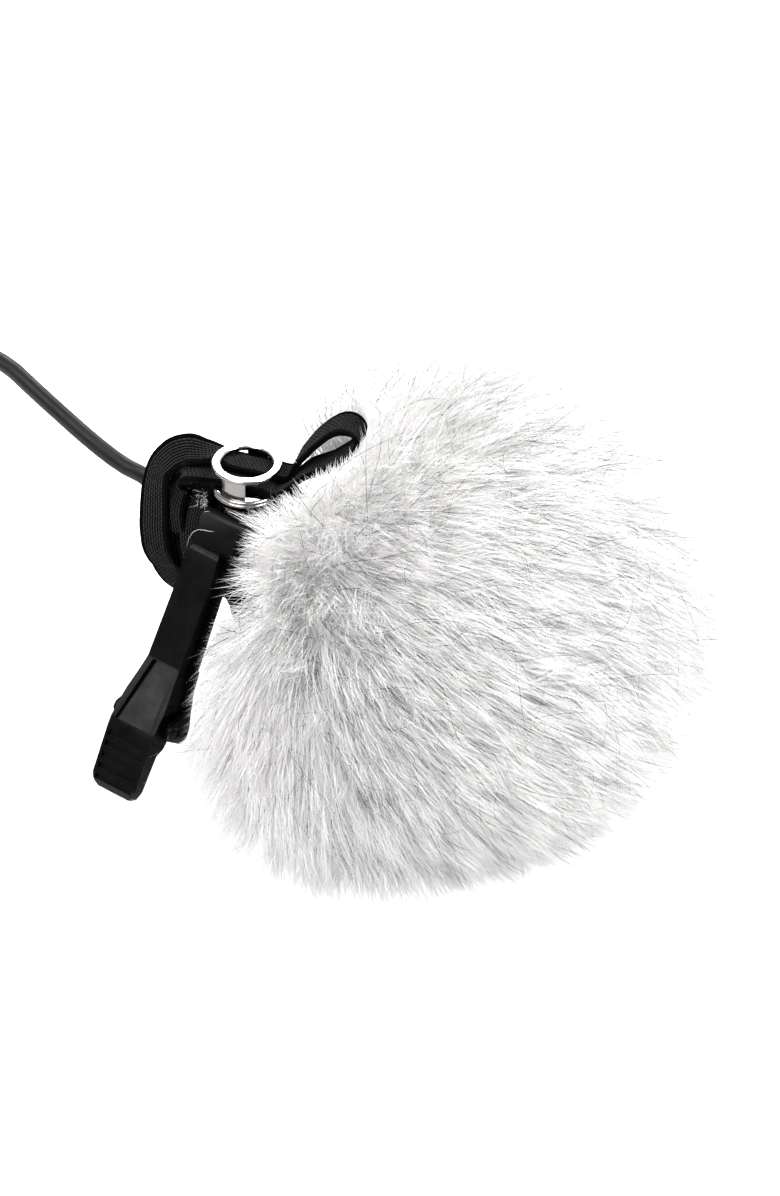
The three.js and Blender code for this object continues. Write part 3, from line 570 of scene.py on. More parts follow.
# The strap from the turns through the slider, round the pull loop and back.
# columns: centre of the strap, direction across it, width
LEAN = unit([0.25, 0.97, 0.0])
PULL = [
    (on_turn(104, TURN_OUT - 0.75, 3.3), AXIS, 5.7),
    (on_turn(92, TURN_OUT + 0.05, 3.3), AXIS, 5.8),
    (on_turn(79, TURN_OUT + 0.65, 3.3), AXIS, 5.8),
    (on_turn(55, TURN_OUT + 1.3, 3.3), AXIS, 5.8),
    (by_view(-13.5, 0.4, 8.9), unit(AXIS * 0.9 + np.array([0.1, 0.1, 0.0])), 5.7),
    (by_view(-11.6, 2.9, 7.6), unit([-0.52, 0.78, 0.05]), 5.7),
    (by_view(-9.2, 3.9, 6.0), unit([-0.30, 0.86, 0.18]), 5.6),
    (by_view(-6.8, 3.6, 4.3), unit([0.05, 0.95, 0.10]), 5.4),
    (by_slider(-4.6, 2.2, 1.0), unit(SIDE + 0.15 * np.array([0, 0, -1])), 4.8),
    (by_slider(-2.6, 2.2, 0.62), SIDE, 4.5),
    (by_slider(2.6, 2.2, 0.62), SIDE, 4.5),
    (by_slider(6.3, 2.25, 0.80), SIDE, 4.6),
    (by_view(8.1, 2.9, -2.3), unit([0.30, 0.95, 0.05]), 5.5),
    (by_view(10.2, 5.2, -4.1), unit([0.25, 0.97, 0.02]), 5.8),
    (by_view(12.6, 7.1, -5.4), LEAN, 5.9),
    (by_view(14.4, 7.8, -6.1), LEAN, 5.9),
    (by_view(15.9, 7.4, -6.4), LEAN, 5.9),
    (by_view(16.7, 6.0, -6.4), LEAN, 5.9),
    (by_view(16.0, 4.3, -6.1), LEAN, 5.9),
    (by_view(13.0, 2.3, -4.6), LEAN, 5.8),
    (by_view(9.2, 0.95, -3.1), unit([0.28, 0.96, 0.0]), 5.6),
    (by_slider(5.6, -0.2, -0.75), SIDE, 4.9),
    (by_slider(2.6, -0.2, -0.72), SIDE, 4.5),
    (by_slider(-2.6, -0.2, -0.72), SIDE, 4.5),
    (by_slider(-5.2, -0.2, -0.8), SIDE, 4.9),
    (by_view(-8.75, 0.6, 4.0), unit([0.05, 0.97, -0.15]), 5.4),
    (on_turn(24, TURN_OUT + 1.2, 0.2), unit(AXIS + np.array([0.25, 0.3, 0.0])), 5.6),
    (on_turn(48, TURN_OUT + 0.65, 0.6), AXIS, 5.7),
    (on_turn(60, TURN_OUT - 0.1, 0.6), AXIS, 5.7),
    (on_turn(71, TURN_OUT - 0.8, 0.6), AXIS, 5.7),
]


def pull_loop():
    centre, across = (catmull([station[i] for station in PULL], 700) for i in (0, 1))
    width = catmull([[station[2], 0, 0] for station in PULL], 700)[:, 0]
    loop = ribbon("elastic_pull_loop", centre, across, width, thick=0.98, step=0.17,
                  wobble=0.03, seed=9)
    belongs(loop, "strap_pull_loop")
    return loop


LOOP = pull_loop()


# ------------------------------------------------------------------ gathered knit cuff
def remeshed_copy(node, name, voxel):
    data = NODES[node].data.copy()
    data.name = name
    obj = link_object(name, data)
    remesh = obj.modifiers.new("r", "REMESH")
    remesh.mode = "VOXEL"
    remesh.voxel_size = voxel
    remesh.use_smooth_shade = True
    graph = bpy.context.evaluated_depsgraph_get()
    result = bpy.data.meshes.new_from_object(obj.evaluated_get(graph))
    obj.modifiers.clear()
    obj.data = result
    bpy.data.meshes.remove(data)
    return obj


def neck_cuff():
    cuff = remeshed_copy("neck_cuff", "knitted_neck_cuff", 0.00024)
    mesh = cuff.data
    co = read_vectors(mesh) * 1000
    normal = read_vectors(mesh, "normal")
    rel = co - NECK
    axial = rel @ AXIS
    angle = np.arctan2(rel @ NECK_SIDE, rel @ NECK_UP)
    # folds grow towards both ends of the cuff, over a fine knit
    gather = np.clip((-axial - 5.5) / 4.0, 0, 1) + 0.6 * np.clip((axial - 5.8) / 2.0, 0, 1)
    fold = 0.30 * np.sin(angle * 17 + 1.5 * np.sin(angle * 3)) + 0.14 * np.sin(angle * 29 + 2.0)
    knit = 0.06 * np.sin(angle * 95) * (0.5 + 0.5 * np.sin(axial * 9.5))
    co = co + normal * (gather * fold + knit)[:, None]
    # the underside of the front end sags
    sag = np.clip((-axial - 4.8) / 3.2, 0, 1) * np.clip(-(rel @ NECK_UP) / 9.0, 0, 1) ** 1.3
    co = co - NECK_UP * (3.4 * sag)[:, None] + AXIS * (0.8 * sag)[:, None]
    mesh.vertices.foreach_set("co", (co * 0.001).astype(np.float32).ravel())
    mesh.update()
    mesh.materials.clear()
    mesh.materials.append(MATERIALS["knit"])
    belongs(cuff, "neck_cuff")


neck_cuff()


# ------------------------------------------------------------------ what the fur keeps clear of
def surface_tree(objects):
    points, faces, base = [], [], 0
    for obj in objects:
        obj.data.calc_loop_triangles()
        co = read_vectors(obj.data) * 1000
        corners = np.zeros(len(obj.data.loop_triangles) * 3, np.int32)
        obj.data.loop_triangles.foreach_get("vertices", corners)
        points.append(co)
        faces.append(corners.reshape(-1, 3) + base)
        base += len(co)
    return BVHTree.FromPolygons(np.vstack(points).tolist(), np.vstack(faces).tolist())


FITTINGS = [NODES[n] for n in ("clip_jaw", "clip_lever", "slider_upper_ring", "slider_lower_ring")]
BAND_NODES = [NODES[n] for n in ("neck_cuff", "strap_turn_front", "strap_turn_rear")]
HARD = surface_tree(FITTINGS + BAND_NODES + [LOOP])
SEEN = surface_tree(FITTINGS + [LOOP])
BANDS = surface_tree(BAND_NODES)
AWAY = Vector(VIEW)
CENTRE = Vector(BALL)


def blocked(points, gap):
    """True where a point is within gap of the clip, slider, strap or cuff, or inside one."""
    out = np.zeros(len(points), bool)
    for i, point in enumerate(points):
        place, normal, _, _ = HARD.find_nearest(Vector(point), 3.0)
        if place is None:
            continue
        offset = Vector(point) - place
        out[i] = offset.length < gap or offset.dot(normal) < 0
    return out


def covers(tree, point, inward, look_inward=True):
    """True where a point stands in front of a tree's pieces, or just outside them."""
    return tree.ray_cast(point, AWAY, 26.0)[0] is not None or (
        look_inward and tree.ray_cast(point, inward, 9.0)[0] is not None)


def first_covering(paths):
    """Index of each hair's first point that covers the fittings and loop, and the bands."""
    n, count, _ = paths.shape
    hard, soft = np.full(n, count), np.full(n, count)
    near_neck = np.linalg.norm(paths - NECK, axis=2).min(1) < 44
    near_slider = np.linalg.norm(paths - SLIDER, axis=2).min(1) < 34
    for i in np.nonzero(near_neck | near_slider)[0]:
        for j in range(1, count):
            for place in ((paths[i, j - 1] + paths[i, j]) / 2, paths[i, j]):
                point = Vector(place)
                inward = CENTRE - point
                length = inward.length
                inward = inward / length
                if covers(SEEN, point, inward, length > 26):
                    hard[i] = j
                    break
                if soft[i] == count and covers(BANDS, point, inward, length > 26):
                    soft[i] = j
            if hard[i] < count:
                break
    return hard, soft


def hides(points):
    """True where a point of the skin would cover the clip, slider, loop or bands."""
    out = np.zeros(len(points), bool)
    near_neck = np.linalg.norm(points - NECK, axis=1) < 40
    near_slider = np.linalg.norm(points - SLIDER, axis=1) < 32
    for i in np.nonzero(near_neck | near_slider)[0]:
        point = Vector(points[i])
        inward = (CENTRE - point).normalized()
        out[i] = any(covers(tree, point, inward) for tree in (SEEN, BANDS))
    return out


def in_neck(points, radius, low, high=30.0):
    """True inside a cylinder along the neck, from low to high of its middle."""
    rel = points - NECK
    axial = rel @ AXIS
    off_axis = np.linalg.norm(rel - axial[..., None] * AXIS, axis=-1)
    return (off_axis < radius) & (axial > low) & (axial < high)


# ------------------------------------------------------------------ how the fur lies
# All of these take unit directions out from the ball's centre.
def fibonacci(n, jitter):
    i = np.arange(n) + 0.5
    polar = np.arccos(1 - 2 * i / n)
    turn = math.pi * (1 + 5**0.5) * i
    v = np.stack([np.cos(turn) * np.sin(polar), np.sin(turn) * np.sin(polar), np.cos(polar)], 1)
    return unit(v + rng.normal(0, jitter, v.shape))


# where the pile is longer: direction, extra length in mm, spread
BULGES = [
    (unit([-0.883, -0.276, -0.379]), 8.5, 0.13),
    (unit([-0.55, -0.5, -0.67]), 5.5, 0.12),
    (unit([-0.42, 0.55, 0.72]), 3.5, 0.14),
    (unit([1.0, 0.02, 0.03]), 3.6, 0.22),
    (unit([-0.05, 0.588, 0.809]), 2.6, 0.2),
]
WAVES = rng.normal(0, 3.2, (3, 7))
SHIFT = rng.uniform(0, 6.28, 7)


def skirt(outward):
    """How much longer the pile is, in mm."""
    return sum(extra * np.exp(-(1 - outward @ way) / spread) for way, extra, spread in BULGES)


def uneven(outward):
    """Slow unevenness of the pile over the ball, about -1 to 1."""
    return np.sin(outward @ WAVES + SHIFT).mean(1) * 1.6


def neck_angle(outward):
    return np.degrees(np.arccos(np.clip(outward @ TO_NECK, -1, 1)))


def flow(outward):
    """The way the hairs lie, away from the neck, and how strongly."""
    lie = unit((outward @ TO_NECK)[:, None] * outward - TO_NECK[None])
    angle = neck_angle(outward)
    strength = np.clip((178 - angle) / 75, 0, 1) ** 0.8
    rise = np.clip((angle - 30) / 45, 0, 1)
    rise = rise * rise * (3 - 2 * rise)
    return lie, strength * (0.25 + 0.75 * rise)


STRAP_LINE = catmull([station[0] for station in PULL], 150) - BALL
STRAP_RADIUS = np.linalg.norm(STRAP_LINE, axis=1)
STRAP_LINE = STRAP_LINE[STRAP_RADIUS > 20]
STRAP_RADIUS = STRAP_RADIUS[STRAP_RADIUS > 20]


def press_down(radius, outward, clearance, slope, every=1):
    """Lowers the pile under the pull loop and the slider."""
    for centre, reach in zip(STRAP_LINE[::every], STRAP_RADIUS[::every]):
        aside = np.linalg.norm(np.cross(outward, centre[None]), axis=1)
        room = reach - clearance + slope * np.maximum(aside - 3.4, 0)
        radius = np.minimum(radius, np.where(outward @ centre > 0, room, 99.0))
    return radius


# ------------------------------------------------------------------ dense underlayer of the fur
def underlayer():
    """A lumpy closed skin; returns its directions from the ball's centre and its points."""
    bm = bmesh.new()
    bmesh.ops.create_icosphere(bm, subdivisions=6, radius=1.0)
    bm.verts.ensure_lookup_table()
    outward = unit(np.array([v.co[:] for v in bm.verts]))
    # lumps round scattered knots, and fine streaks
    dots = outward @ fibonacci(420, 0.05).T
    best = np.argsort(-dots, 1)[:, :2]
    nearest, second = (np.take_along_axis(dots, best[:, i : i + 1], 1)[:, 0] for i in (0, 1))
    lump = np.clip((nearest - second) * 90, 0, 1)
    streak = np.sin(outward @ rng.normal(0, 34, (3, 14)) + rng.uniform(0, 6.28, 14)).mean(1)
    radius = 28.8 + 1.1 * lump + 0.9 * streak + 0.5 * skirt(outward) + 0.6 * uneven(outward)
    radius = press_down(radius, outward, clearance=1.9, slope=0.32)
    points = BALL + outward * radius[:, None]
    # sinks in small steps wherever it meets or covers a fitting
    for _ in range(12):
        bad = (in_neck(points, radius=10.6, low=-13.2) | blocked(points, 0.9)
               | (hides(points) & (radius > 23.5)))
        if not bad.any():
            break
        radius[bad] -= 0.9
        points = BALL + outward * radius[:, None]
    # rests flat on the ground
    ground = 0.7 + 0.5 * streak
    z = points[:, 2]
    points[:, 2] = np.where(z < ground + 0.6, np.maximum(ground, 0.3), z)
    for v, point in zip(bm.verts, points):
        v.co = Vector(point * 0.001)
    mesh = bpy.data.meshes.new("fur_underlayer")
    bm.to_mesh(mesh)
    bm.free()
    smooth_faces(mesh)
    # the tone is lighter on the lumps and darker in the hollows between them, painted shade; the
    # streaks shift it as well
    point_attribute(mesh, "tone", np.clip(0.45 - 0.4 * lump + 0.25 * streak, 0, 1))
    obj = link_object("fur_underlayer", mesh)
    mesh.materials.append(MATERIALS["under"])
    belongs(obj, "fur_cover")
    return outward, points


SKIN_OUTWARD, SKIN_POINTS = underlayer()


# ------------------------------------------------------------------ hair helpers
HAIRS_PER_PIECE = 6900


def add_hairs(name, paths, root_width, tip_width, tone, material):
    """Closed three-sided tapering hairs along paths (hair, point, xyz), in limited pieces."""
    n, count, _ = paths.shape
    tangent = unit(np.gradient(paths, axis=1))
    ref = unit(np.random.default_rng(3).normal(size=(n, 1, 3)))
    side = unit(np.cross(tangent, ref))
    other = np.cross(tangent, side)
    taper = np.linspace(0, 1, count)[None] ** 1.6
    half = ((root_width[:, None] * (1 - taper) + tip_width * taper) / 2)[..., None]
    corners = [paths + (math.cos(a) * side + math.sin(a) * other) * half
               for a in (0, 2 * math.pi / 3, 4 * math.pi / 3)]
    body = np.stack(corners, 2)[:, :-1].reshape(n, (count - 1) * 3, 3)
    co = np.concatenate([body, paths[:, -1:]], 1)
    size = (count - 1) * 3 + 1
    quads = np.array([
        [r * 3 + a, r * 3 + (a + 1) % 3, (r + 1) * 3 + (a + 1) % 3, (r + 1) * 3 + a]
        for r in range(count - 2) for a in range(3)])
    last = (count - 2) * 3
    tris = np.array([[last + a, last + (a + 1) % 3, size - 1] for a in range(3)] + [[2, 1, 0]])
    face_sizes = np.concatenate([np.full(len(quads), 4), np.full(len(tris), 3)])
    level = np.concatenate([np.repeat(np.arange(count - 1), 3), [count - 1]]) / (count - 1)
    for start in range(0, n, HAIRS_PER_PIECE):
        chosen = slice(start, start + HAIRS_PER_PIECE)
        hairs = len(co[chosen])
        offset = (np.arange(hairs) * size)[:, None, None]
        flat = np.concatenate([(faces[None] + offset).reshape(hairs, -1)
                               for faces in (quads, tris)], 1)
        obj = new_mesh(f"{name}_{start // HAIRS_PER_PIECE + 1:02d}", co[chosen].reshape(-1, 3),
                       flat, np.tile(face_sizes, hairs))
        tones = tone[chosen]
        tones = np.concatenate([np.repeat(tones[:, :-1], 3, axis=1), tones[:, -1:]], 1)
        point_attribute(obj.data, "tone", tones)
        hair_map(obj.data, hairs, size, level)
        obj.data.materials.append(MATERIALS[material])
        belongs(obj)


def hair_map(mesh, hairs, size, level):
    """One small cell of the map for each hair."""
    grid = int(math.ceil(math.sqrt(hairs)))
    layer = mesh.uv_layers.new(name="OFBake")
    corner = np.zeros(len(mesh.loops), np.int32)
    mesh.loops.foreach_get("vertex_index", corner)
    hair, local = corner // size, corner % size
    across = np.where(local == size - 1, 0.5, (local % 3) / 2.0)
    uvs = np.stack([(hair % grid + 0.15 + 0.7 * level[local]) / grid,
                    (hair // grid + 0.15 + 0.7 * across) / grid], 1)
    layer.data.foreach_set("uv", uvs.astype(np.float32).ravel())


def hair_count(full):
    return int(full * (1))


def scatter(n, spread):
    return rng.normal(0, spread, (n, 3))


def column(low, high, n):
    """One random value for each hair, ready to spread along it."""
    return rng.uniform(low, high, n)[:, None]


def trace(roots, length, count, heading):
    """Paths of count points; heading(i, x) gives the way of step i, at x along the hair."""
    paths = np.zeros((len(roots), count, 3))
    paths[:, 0] = roots
    for i in range(1, count):
        way = unit(heading(i, (i - 0.5) / (count - 1)))
        paths[:, i] = paths[:, i - 1] + way * (length / (count - 1))[:, None]
    return paths


def grow(outward, root_radius, length, count, jitter, lift, lay, droop, wave):
    """Hairs that rise off the skin, then lie over; lift and lay are (at root, at tip)."""
    lie, strength = flow(outward)
    first = unit(outward * lift[0] + lie * (lay[0] * strength)[:, None] + jitter * 0.6)
    last = unit(outward * lift[1] + lie * (lay[1] * strength)[:, None] + jitter * 1.2
                + np.array([0, 0, -1.0]) * droop)
    side = unit(np.cross(first, rng.normal(size=(len(outward), 3))))
    return trace(
        BALL + outward * root_radius[:, None], length, count,
        lambda i, x: first * (1 - x) + last * x + side * (wave * math.sin(x * 3.1 + 0.4)))


def settle(paths):
    """Nothing goes below the resting surface: low hairs run out along it."""
    for i in range(1, paths.shape[1]):
        low = 0.35 - paths[:, i, 2]
        sunk = low > 0
        out = unit(np.stack([paths[:, i, 0], paths[:, i, 1], np.zeros(len(paths))], 1))
        paths[sunk, i, 2] = 0.35 + 0.02 * i
        paths[sunk, i:, :2] += (out[sunk] * (low[sunk] * 0.55)[:, None])[:, None, :2]
    paths[:, :, 2] = np.maximum(paths[:, :, 2], 0.3)
    return paths


# the box no hair may leave: the CAD's own, widened by a length and a share of its size
_low, _high = (np.array(corner) * 1000 for corner in CAD_BOX)
REACH_LOW = _low - 7.4 - 0.03 * (_high - _low)
REACH_HIGH = _high + 7.4 + 0.03 * (_high - _low)


def trimmed(paths, gap, least=0.30, stray_hard=0.0, stray_soft=0.04):
    """Settles hairs, cuts them short of the fittings and bands, and drops the stubs.

    least is the shortest share of a hair that is kept; the strays are the shares of hairs
    that may cross over the fittings (hard) and the bands (soft)."""
    paths = settle(paths)
    n, count, _ = paths.shape
    flat = paths.reshape(-1, 3)
    hit = np.zeros(len(flat), bool)
    near = np.nonzero(np.linalg.norm(flat - NECK, axis=1) < 62)[0]
    hit[near] = blocked(flat[near], gap)
    hit = hit.reshape(n, count)
    hit |= ((paths > REACH_HIGH) | (paths < REACH_LOW)).any(2)
    first = np.where(hit.any(1), hit.argmax(1), count)
    hard, soft = first_covering(paths)
    chance = rng.random(n)
    hard = np.where(chance < stray_hard, count, hard)
    soft = np.where(chance < stray_soft, count, soft)
    first = np.minimum(first, np.minimum(hard, soft))
    share = np.where(first == count, 1.0, (first - 0.6) / (count - 1))
    keep = share > least
    paths, share = paths[keep], share[keep]
    x = np.linspace(0, 1, count)
    for i in np.nonzero(share < 1)[0]:
        paths[i] = resample(x * share[i], x, paths[i])
    return paths


def long_pile():
    """The main pile, its hairs drawn part of the way into clumps."""
    count = 6
    bend = dict(count=count, lift=(0.95, 0.52), lay=(0.55, 0.92), droop=0.10)
    clumps = hair_count(2100)
    clump_out = fibonacci(clumps, 0.022)
    clump_jitter = scatter(clumps, 0.27)
    clump_length = rng.uniform(13.5, 20.5, clumps) + 0.6 * skirt(clump_out)
    clump_root = 25.0 + 0.55 * skirt(clump_out) + 0.7 * uneven(clump_out)
    clump_paths = grow(clump_out, clump_root, clump_length, jitter=clump_jitter, wave=0.12,
                       **bend)
    clump_pull = rng.beta(2.0, 2.0, clumps) * 0.85

    out = fibonacci(hair_count(46000), 0.012)
    out = out[neck_angle(out) > 27]
    n = len(out)
    clump = np.empty(n, int)
    for a in range(0, n, 4000):
        clump[a : a + 4000] = np.argmax(out[a : a + 4000] @ clump_out.T, 1)
    length = rng.uniform(13.0, 17.5, n)
    rank = rng.random(n)
    length = np.where(rank > 0.80, length + rng.uniform(1, 3.5, n), length)
    length = np.where(rank > 0.965, length + rng.uniform(1.5, 4.0, n), length)
    root = rng.uniform(24.6, 27.4, n) + 0.55 * skirt(out) + 0.7 * uneven(out)
    root = press_down(root, out, clearance=3.2, slope=0.4, every=3)
    length = length + 0.6 * skirt(out) + 0.9 * uneven(out)
    paths = grow(out, root, length, jitter=scatter(n, 0.14), wave=0.14, **bend)
    guide = clump_paths[clump]
    target = guide + (paths[:, :1] - guide[:, :1]) * 0.28
    level = np.linspace(0, 1, count)
    pull = (level**1.25)[None, :, None] * clump_pull[clump][:, None, None]
    paths = trimmed(paths * (1 - pull) + target * pull, gap=0.45)

    n = len(paths)
    tip_tone = rng.uniform(0.1, 0.75, n)
    grey = rng.random(n) > 0.72
    tip_tone = np.where(grey, rng.uniform(0.75, 1.0, n), tip_tone)
    tone = column(0.0, 0.3, n) * (1 - level) + tip_tone[:, None] * level**1.8
    add_hairs("fur_pile", paths, rng.uniform(0.10, 0.15, n), 0.02, tone, "pile")


def short_wool():
    """Short woolly pile round the neck and under the strap."""
    out = fibonacci(hair_count(6500) * 7, 0.03)
    angle = neck_angle(out)
    out = out[(angle > 20) & (angle < 66)]
    n = len(out)
    paths = grow(out, rng.uniform(26.0, 28.0, n), rng.uniform(3.5, 8.0, n), count=5,
                 jitter=scatter(n, 0.55), lift=(0.7, 0.5), lay=(0.5, 0.7), droop=0.0, wave=0.7)
    paths = trimmed(paths, gap=0.3, least=0.22)
    n = len(paths)
    tone = column(0.0, 0.6, n) * np.linspace(0.5, 1, 5)[None]
    add_hairs("fur_short_wool", paths, rng.uniform(0.07, 0.10, n), 0.03, tone, "pile")


def stubble():
    """Stubble straight off the skin round the neck, where the long pile is parted."""
    angle = neck_angle(SKIN_OUTWARD)
    bare = (angle > 19) & (angle < 84) & ~in_neck(SKIN_POINTS, radius=9.6, low=-13.0)
    pick = rng.choice(np.nonzero(bare)[0], hair_count(11000))
    n = len(pick)
    out = SKIN_OUTWARD[pick]
    roots = SKIN_POINTS[pick] - out * 0.25 + scatter(n, 0.25)
    first = unit(out * 0.9 + scatter(n, 0.35))
    lie, _ = flow(out)
    paths = settle(trace(roots, rng.uniform(1.4, 3.4, n), 4,
                         lambda i, x: first + lie * 0.45 * i))
    paths = paths[~np.any([blocked(paths[:, i], 0.35) for i in (1, 2, 3)], axis=0)]
    n = len(paths)
    tone = column(0.0, 0.65, n) * np.linspace(0.5, 1, 4)[None]
    add_hairs("fur_stubble", paths, rng.uniform(0.09, 0.13, n), 0.03, tone, "pile")


def grey_tips():
    """Fine grey tips that break up the outline; their grey, mostly where the ball is seen edge on,
    is painted shade of backlit hairs.
    """
    out = fibonacci(hair_count(5600), 0.05)
    angle = neck_angle(out)
    # hairs seen edge on or on the far side get the painted grey
    far = (angle > 80) | (out @ VIEW > -0.1) | (rng.random(len(out)) < 0.15)
    out = out[(angle > 34) & far]
    n = len(out)
    paths = grow(out, rng.uniform(30.5, 33.5, n) + 0.7 * skirt(out), rng.uniform(5.0, 9.5, n),
                 count=6, jitter=scatter(n, 0.40), lift=(0.85, 0.60), lay=(0.4, 0.75),
                 droop=0.05, wave=0.45)
    paths = trimmed(paths, gap=0.4)
    n = len(paths)
    tone = column(0.1, 0.6, n) + np.linspace(0.0, 0.5, 6)[None]
    add_hairs("fur_tips", paths, rng.uniform(0.07, 0.10, n), 0.02, tone, "tips")


def corner_pile():
    """Pile that closes the corner between the cuff and the clip."""
    n = hair_count(900)
    out = unit(unit([-0.96, -0.10, -0.20]) + scatter(n, 0.10))
    roots = BALL + out * column(25.5, 31.0, n)
    first = unit(out * 0.3 + np.array([-0.9, 0.0, 0.30]) + UP * column(-0.05, 0.5, n)
                 + scatter(n, 0.15))
    last = unit(out * 0.3 + np.array([-0.7, 0.0, -0.25]) + scatter(n, 0.28))
    paths = trace(roots, rng.uniform(8.0, 14.0, n), 6,
                  lambda i, x: first * (1 - x) + last * x)
    paths = trimmed(paths, gap=0.4, stray_soft=1.0)
    n = len(paths)
    tone = column(0.0, 0.3, n) + column(0.1, 0.6, n) * np.linspace(0, 1, 6)[None]
    add_hairs("fur_corner", paths, rng.uniform(0.09, 0.13, n), 0.02, tone, "pile")


def loose_hairs():
    """Loose pale hairs that cross the cuff and the edge of the clip."""
    n = 260
    radial = neck_radial(rng.uniform(0, 2 * math.pi, n))
    roots = NECK - AXIS * 10.5 + radial * column(11.2, 13.5, n)
    first = unit(radial * 0.8 - AXIS * column(-0.15, 0.9, n) + scatter(n, 0.25))
    last = unit(-AXIS * column(-0.1, 0.8, n) + radial * 0.35 + np.array([0, 0, -0.45])
                + scatter(n, 0.5))
    curl = unit(np.cross(first, rng.normal(size=(n, 3))))
    paths = trace(
        roots, rng.uniform(4.0, 11.0, n), 8,
        lambda i, x: first * (1 - x) + last * x + curl * (0.45 * math.sin(x * 5.0)))
    paths = trimmed(paths, gap=0.35, least=0.4, stray_hard=0.05, stray_soft=0.40)
    n = len(paths)
    tone = column(0.0, 0.8, n) * np.ones(8)
    add_hairs("fur_loose_hairs", paths, rng.uniform(0.05, 0.08, n), 0.02, tone, "stray")


def shed_hair(tree, places):
    """A hair lying on the strap or jaw, through (right, up) places off the slider."""
    found = [tree.ray_cast(Vector(by_view(*place, -120)), AWAY, 200.0)[0] for place in places]
    found = [np.array(hit) - VIEW * 0.16 for hit in found if hit is not None]
    if len(found) < 2:
        return None
    line = catmull(found, 40)
    return resample(np.linspace(0, 1, 8), np.linspace(0, 1, len(line)), line)


def shed_hairs():
    """A few shed hairs and a little fluff caught on the strap."""
    tree = surface_tree([NODES["clip_jaw"], *TURNS, LOOP])
    hairs = [shed_hair(tree, places) for places in (
        [(-14.6, -4.0), (-12.8, -5.2), (-11.3, -6.2), (-9.9, -7.0), (-8.3, -7.0), (-6.7, -6.7)],
        [(-9.2, -2.5), (-8.2, -3.2), (-7.0, -4.0)],
        [(-8.6, -7.9), (-7.7, -8.0), (-6.9, -7.9)],
    )]
    for _ in range(30):
        start = np.array([rng.uniform(-7.6, -5.9), rng.uniform(-5.4, -2.0)])
        step = rng.normal(0, 0.42, 2)
        middle = start + step + rng.normal(0, 0.15, 2)
        hairs.append(shed_hair(tree, [start, middle, start + 2 * step]))
    # hairs that jump from one surface to another are left out
    hairs = [hair for hair in hairs if hair is not None
             and np.linalg.norm(np.diff(hair, axis=0), axis=1).max() < 0.8]
    if hairs:
        n = len(hairs)
        tone = column(0.1, 0.9, n) * np.ones(8)
        add_hairs("shed_hairs", np.array(hairs), np.full(n, 0.085), 0.03, tone, "stray")


def guard_hairs():
    """Dark guard hairs through the pile."""
    out = fibonacci(hair_count(1500), 0.06)
    out = out[neck_angle(out) > 24]
    n = len(out)
    paths = grow(out, rng.uniform(28.0, 31.5, n) + 0.6 * skirt(out), rng.uniform(7, 19, n),
                 count=8, jitter=scatter(n, 0.34), lift=(0.62, 0.34), lay=(0.7, 1.0),
                 droop=0.06, wave=0.34)
    paths = trimmed(paths, gap=0.4)
    n = len(paths)
    tone = column(0.0, 1.0, n) * np.ones(8)
    add_hairs("fur_guard_hairs", paths, rng.uniform(0.09, 0.15, n), 0.025, tone, "guard")


# the layers share one random stream, so their order matters
long_pile()
short_wool()
stubble()
grey_tips()
corner_pile()
loose_hairs()
shed_hairs()
guard_hairs()


# ------------------------------------------------------------------ floor, light, camera (m)
def studio_floor(half=6000, z=-0.15):
    material, tree, surface = shader("studio_floor")
    stops = [(0.0, (0.93, 0.93, 0.93)), (1.0, (0.95, 0.95, 0.95))]
    feed(tree, surface, {
        "Base Color": ramp(tree, noise(tree, 6, detail=2.0), stops),
        "Roughness": 0.95,
        "Specular IOR Level": 0.1,
        "Emission Color": (1, 1, 1, 1),
        "Emission Strength": 0.70,
    })
    corners = [(-half, -half, z), (half, -half, z), (half, half, z), (-half, half, z)]
    floor = new_mesh("studio_floor", corners, [0, 1, 2, 3], [4])
    floor.data.materials.append(material)


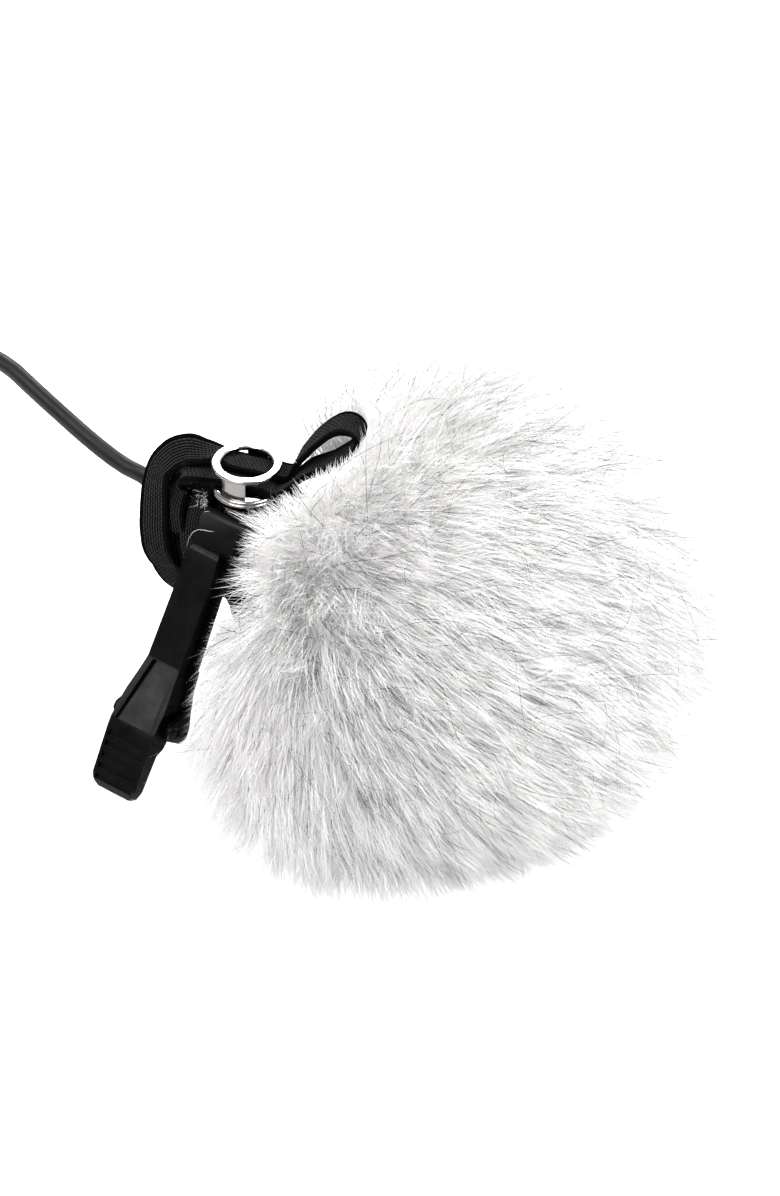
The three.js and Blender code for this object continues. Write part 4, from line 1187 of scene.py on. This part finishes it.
def studio_world():
    """Grey light on the product, plain white to the camera."""
    world = bpy.data.worlds.new("studio")
    bpy.context.scene.world = world
    world.use_nodes = True
    tree = world.node_tree
    rays = add_node(tree, "ShaderNodeLightPath", {})
    mix = add_node(tree, "ShaderNodeMix", {})
    mix.data_type = "RGBA"
    # inputs 6 and 7 are the two colours
    feed(tree, mix, {0: rays.outputs["Is Camera Ray"], 6: (0.36, 0.36, 0.37, 1),
                     7: (1.0, 1.0, 1.0, 1)})
    feed(tree, tree.nodes["Background"], {"Color": mix.outputs[2], "Strength": 1.0})


def aim(obj, location, direction):
    obj.location = location
    obj.rotation_mode = "QUATERNION"
    obj.rotation_quaternion = direction.to_track_quat("-Z", "Y")


def area_light(name, location, target, size, power):
    light = bpy.data.lights.new(name, "AREA")
    light.shape = "RECTANGLE"
    light.size, light.size_y = size
    light.energy = power
    obj = link_object(name, light)
    aim(obj, location, Vector(target) - Vector(location))
    return obj


def studio_lights():
    middle = (-0.02, 0.01, 0.03)
    # name, location, target, size, power
    lights = [area_light(*row) for row in (
        ("key_light", (0.30, -0.12, 0.56), middle, (0.30, 0.30), 5.9),
        ("back_light", (0.05, 0.55, 0.40), middle, (0.50, 0.25), 3.7),
        ("fill_light", (-0.28, -0.22, 0.60), middle, (0.35, 0.35), 2.8),
        ("left_strip", (-0.49, 0.03, 0.32), (-0.05, 0.0, 0.02), (0.20, 0.12), 1.0),
    )]
    lit = bpy.data.collections.new("lit_by_left_strip")
    for node in ("clip_lever", "clip_jaw", "cable_jacket"):
        lit.objects.link(NODES[node])
    lights[-1].light_linking.receiver_collection = lit


def studio_camera():
    half_view = 0.08925  # half the width seen at the target
    camera = bpy.data.cameras.new("camera")
    camera.sensor_width = 36.0
    camera.sensor_fit = "AUTO"
    camera.lens = 600.0
    camera.clip_start, camera.clip_end = 0.05, 60.0
    distance = half_view * camera.lens / (camera.sensor_width / 2)
    obj = link_object("camera", camera)
    aim(obj, Vector((-0.0097, 0.0, 0.0331)) - AWAY * distance, AWAY)
    bpy.context.scene.camera = obj


studio_floor()
studio_world()
studio_lights()
studio_camera()

view = bpy.context.scene.view_settings
view.view_transform = "Standard"
view.look = "None"
view.exposure = 0.0
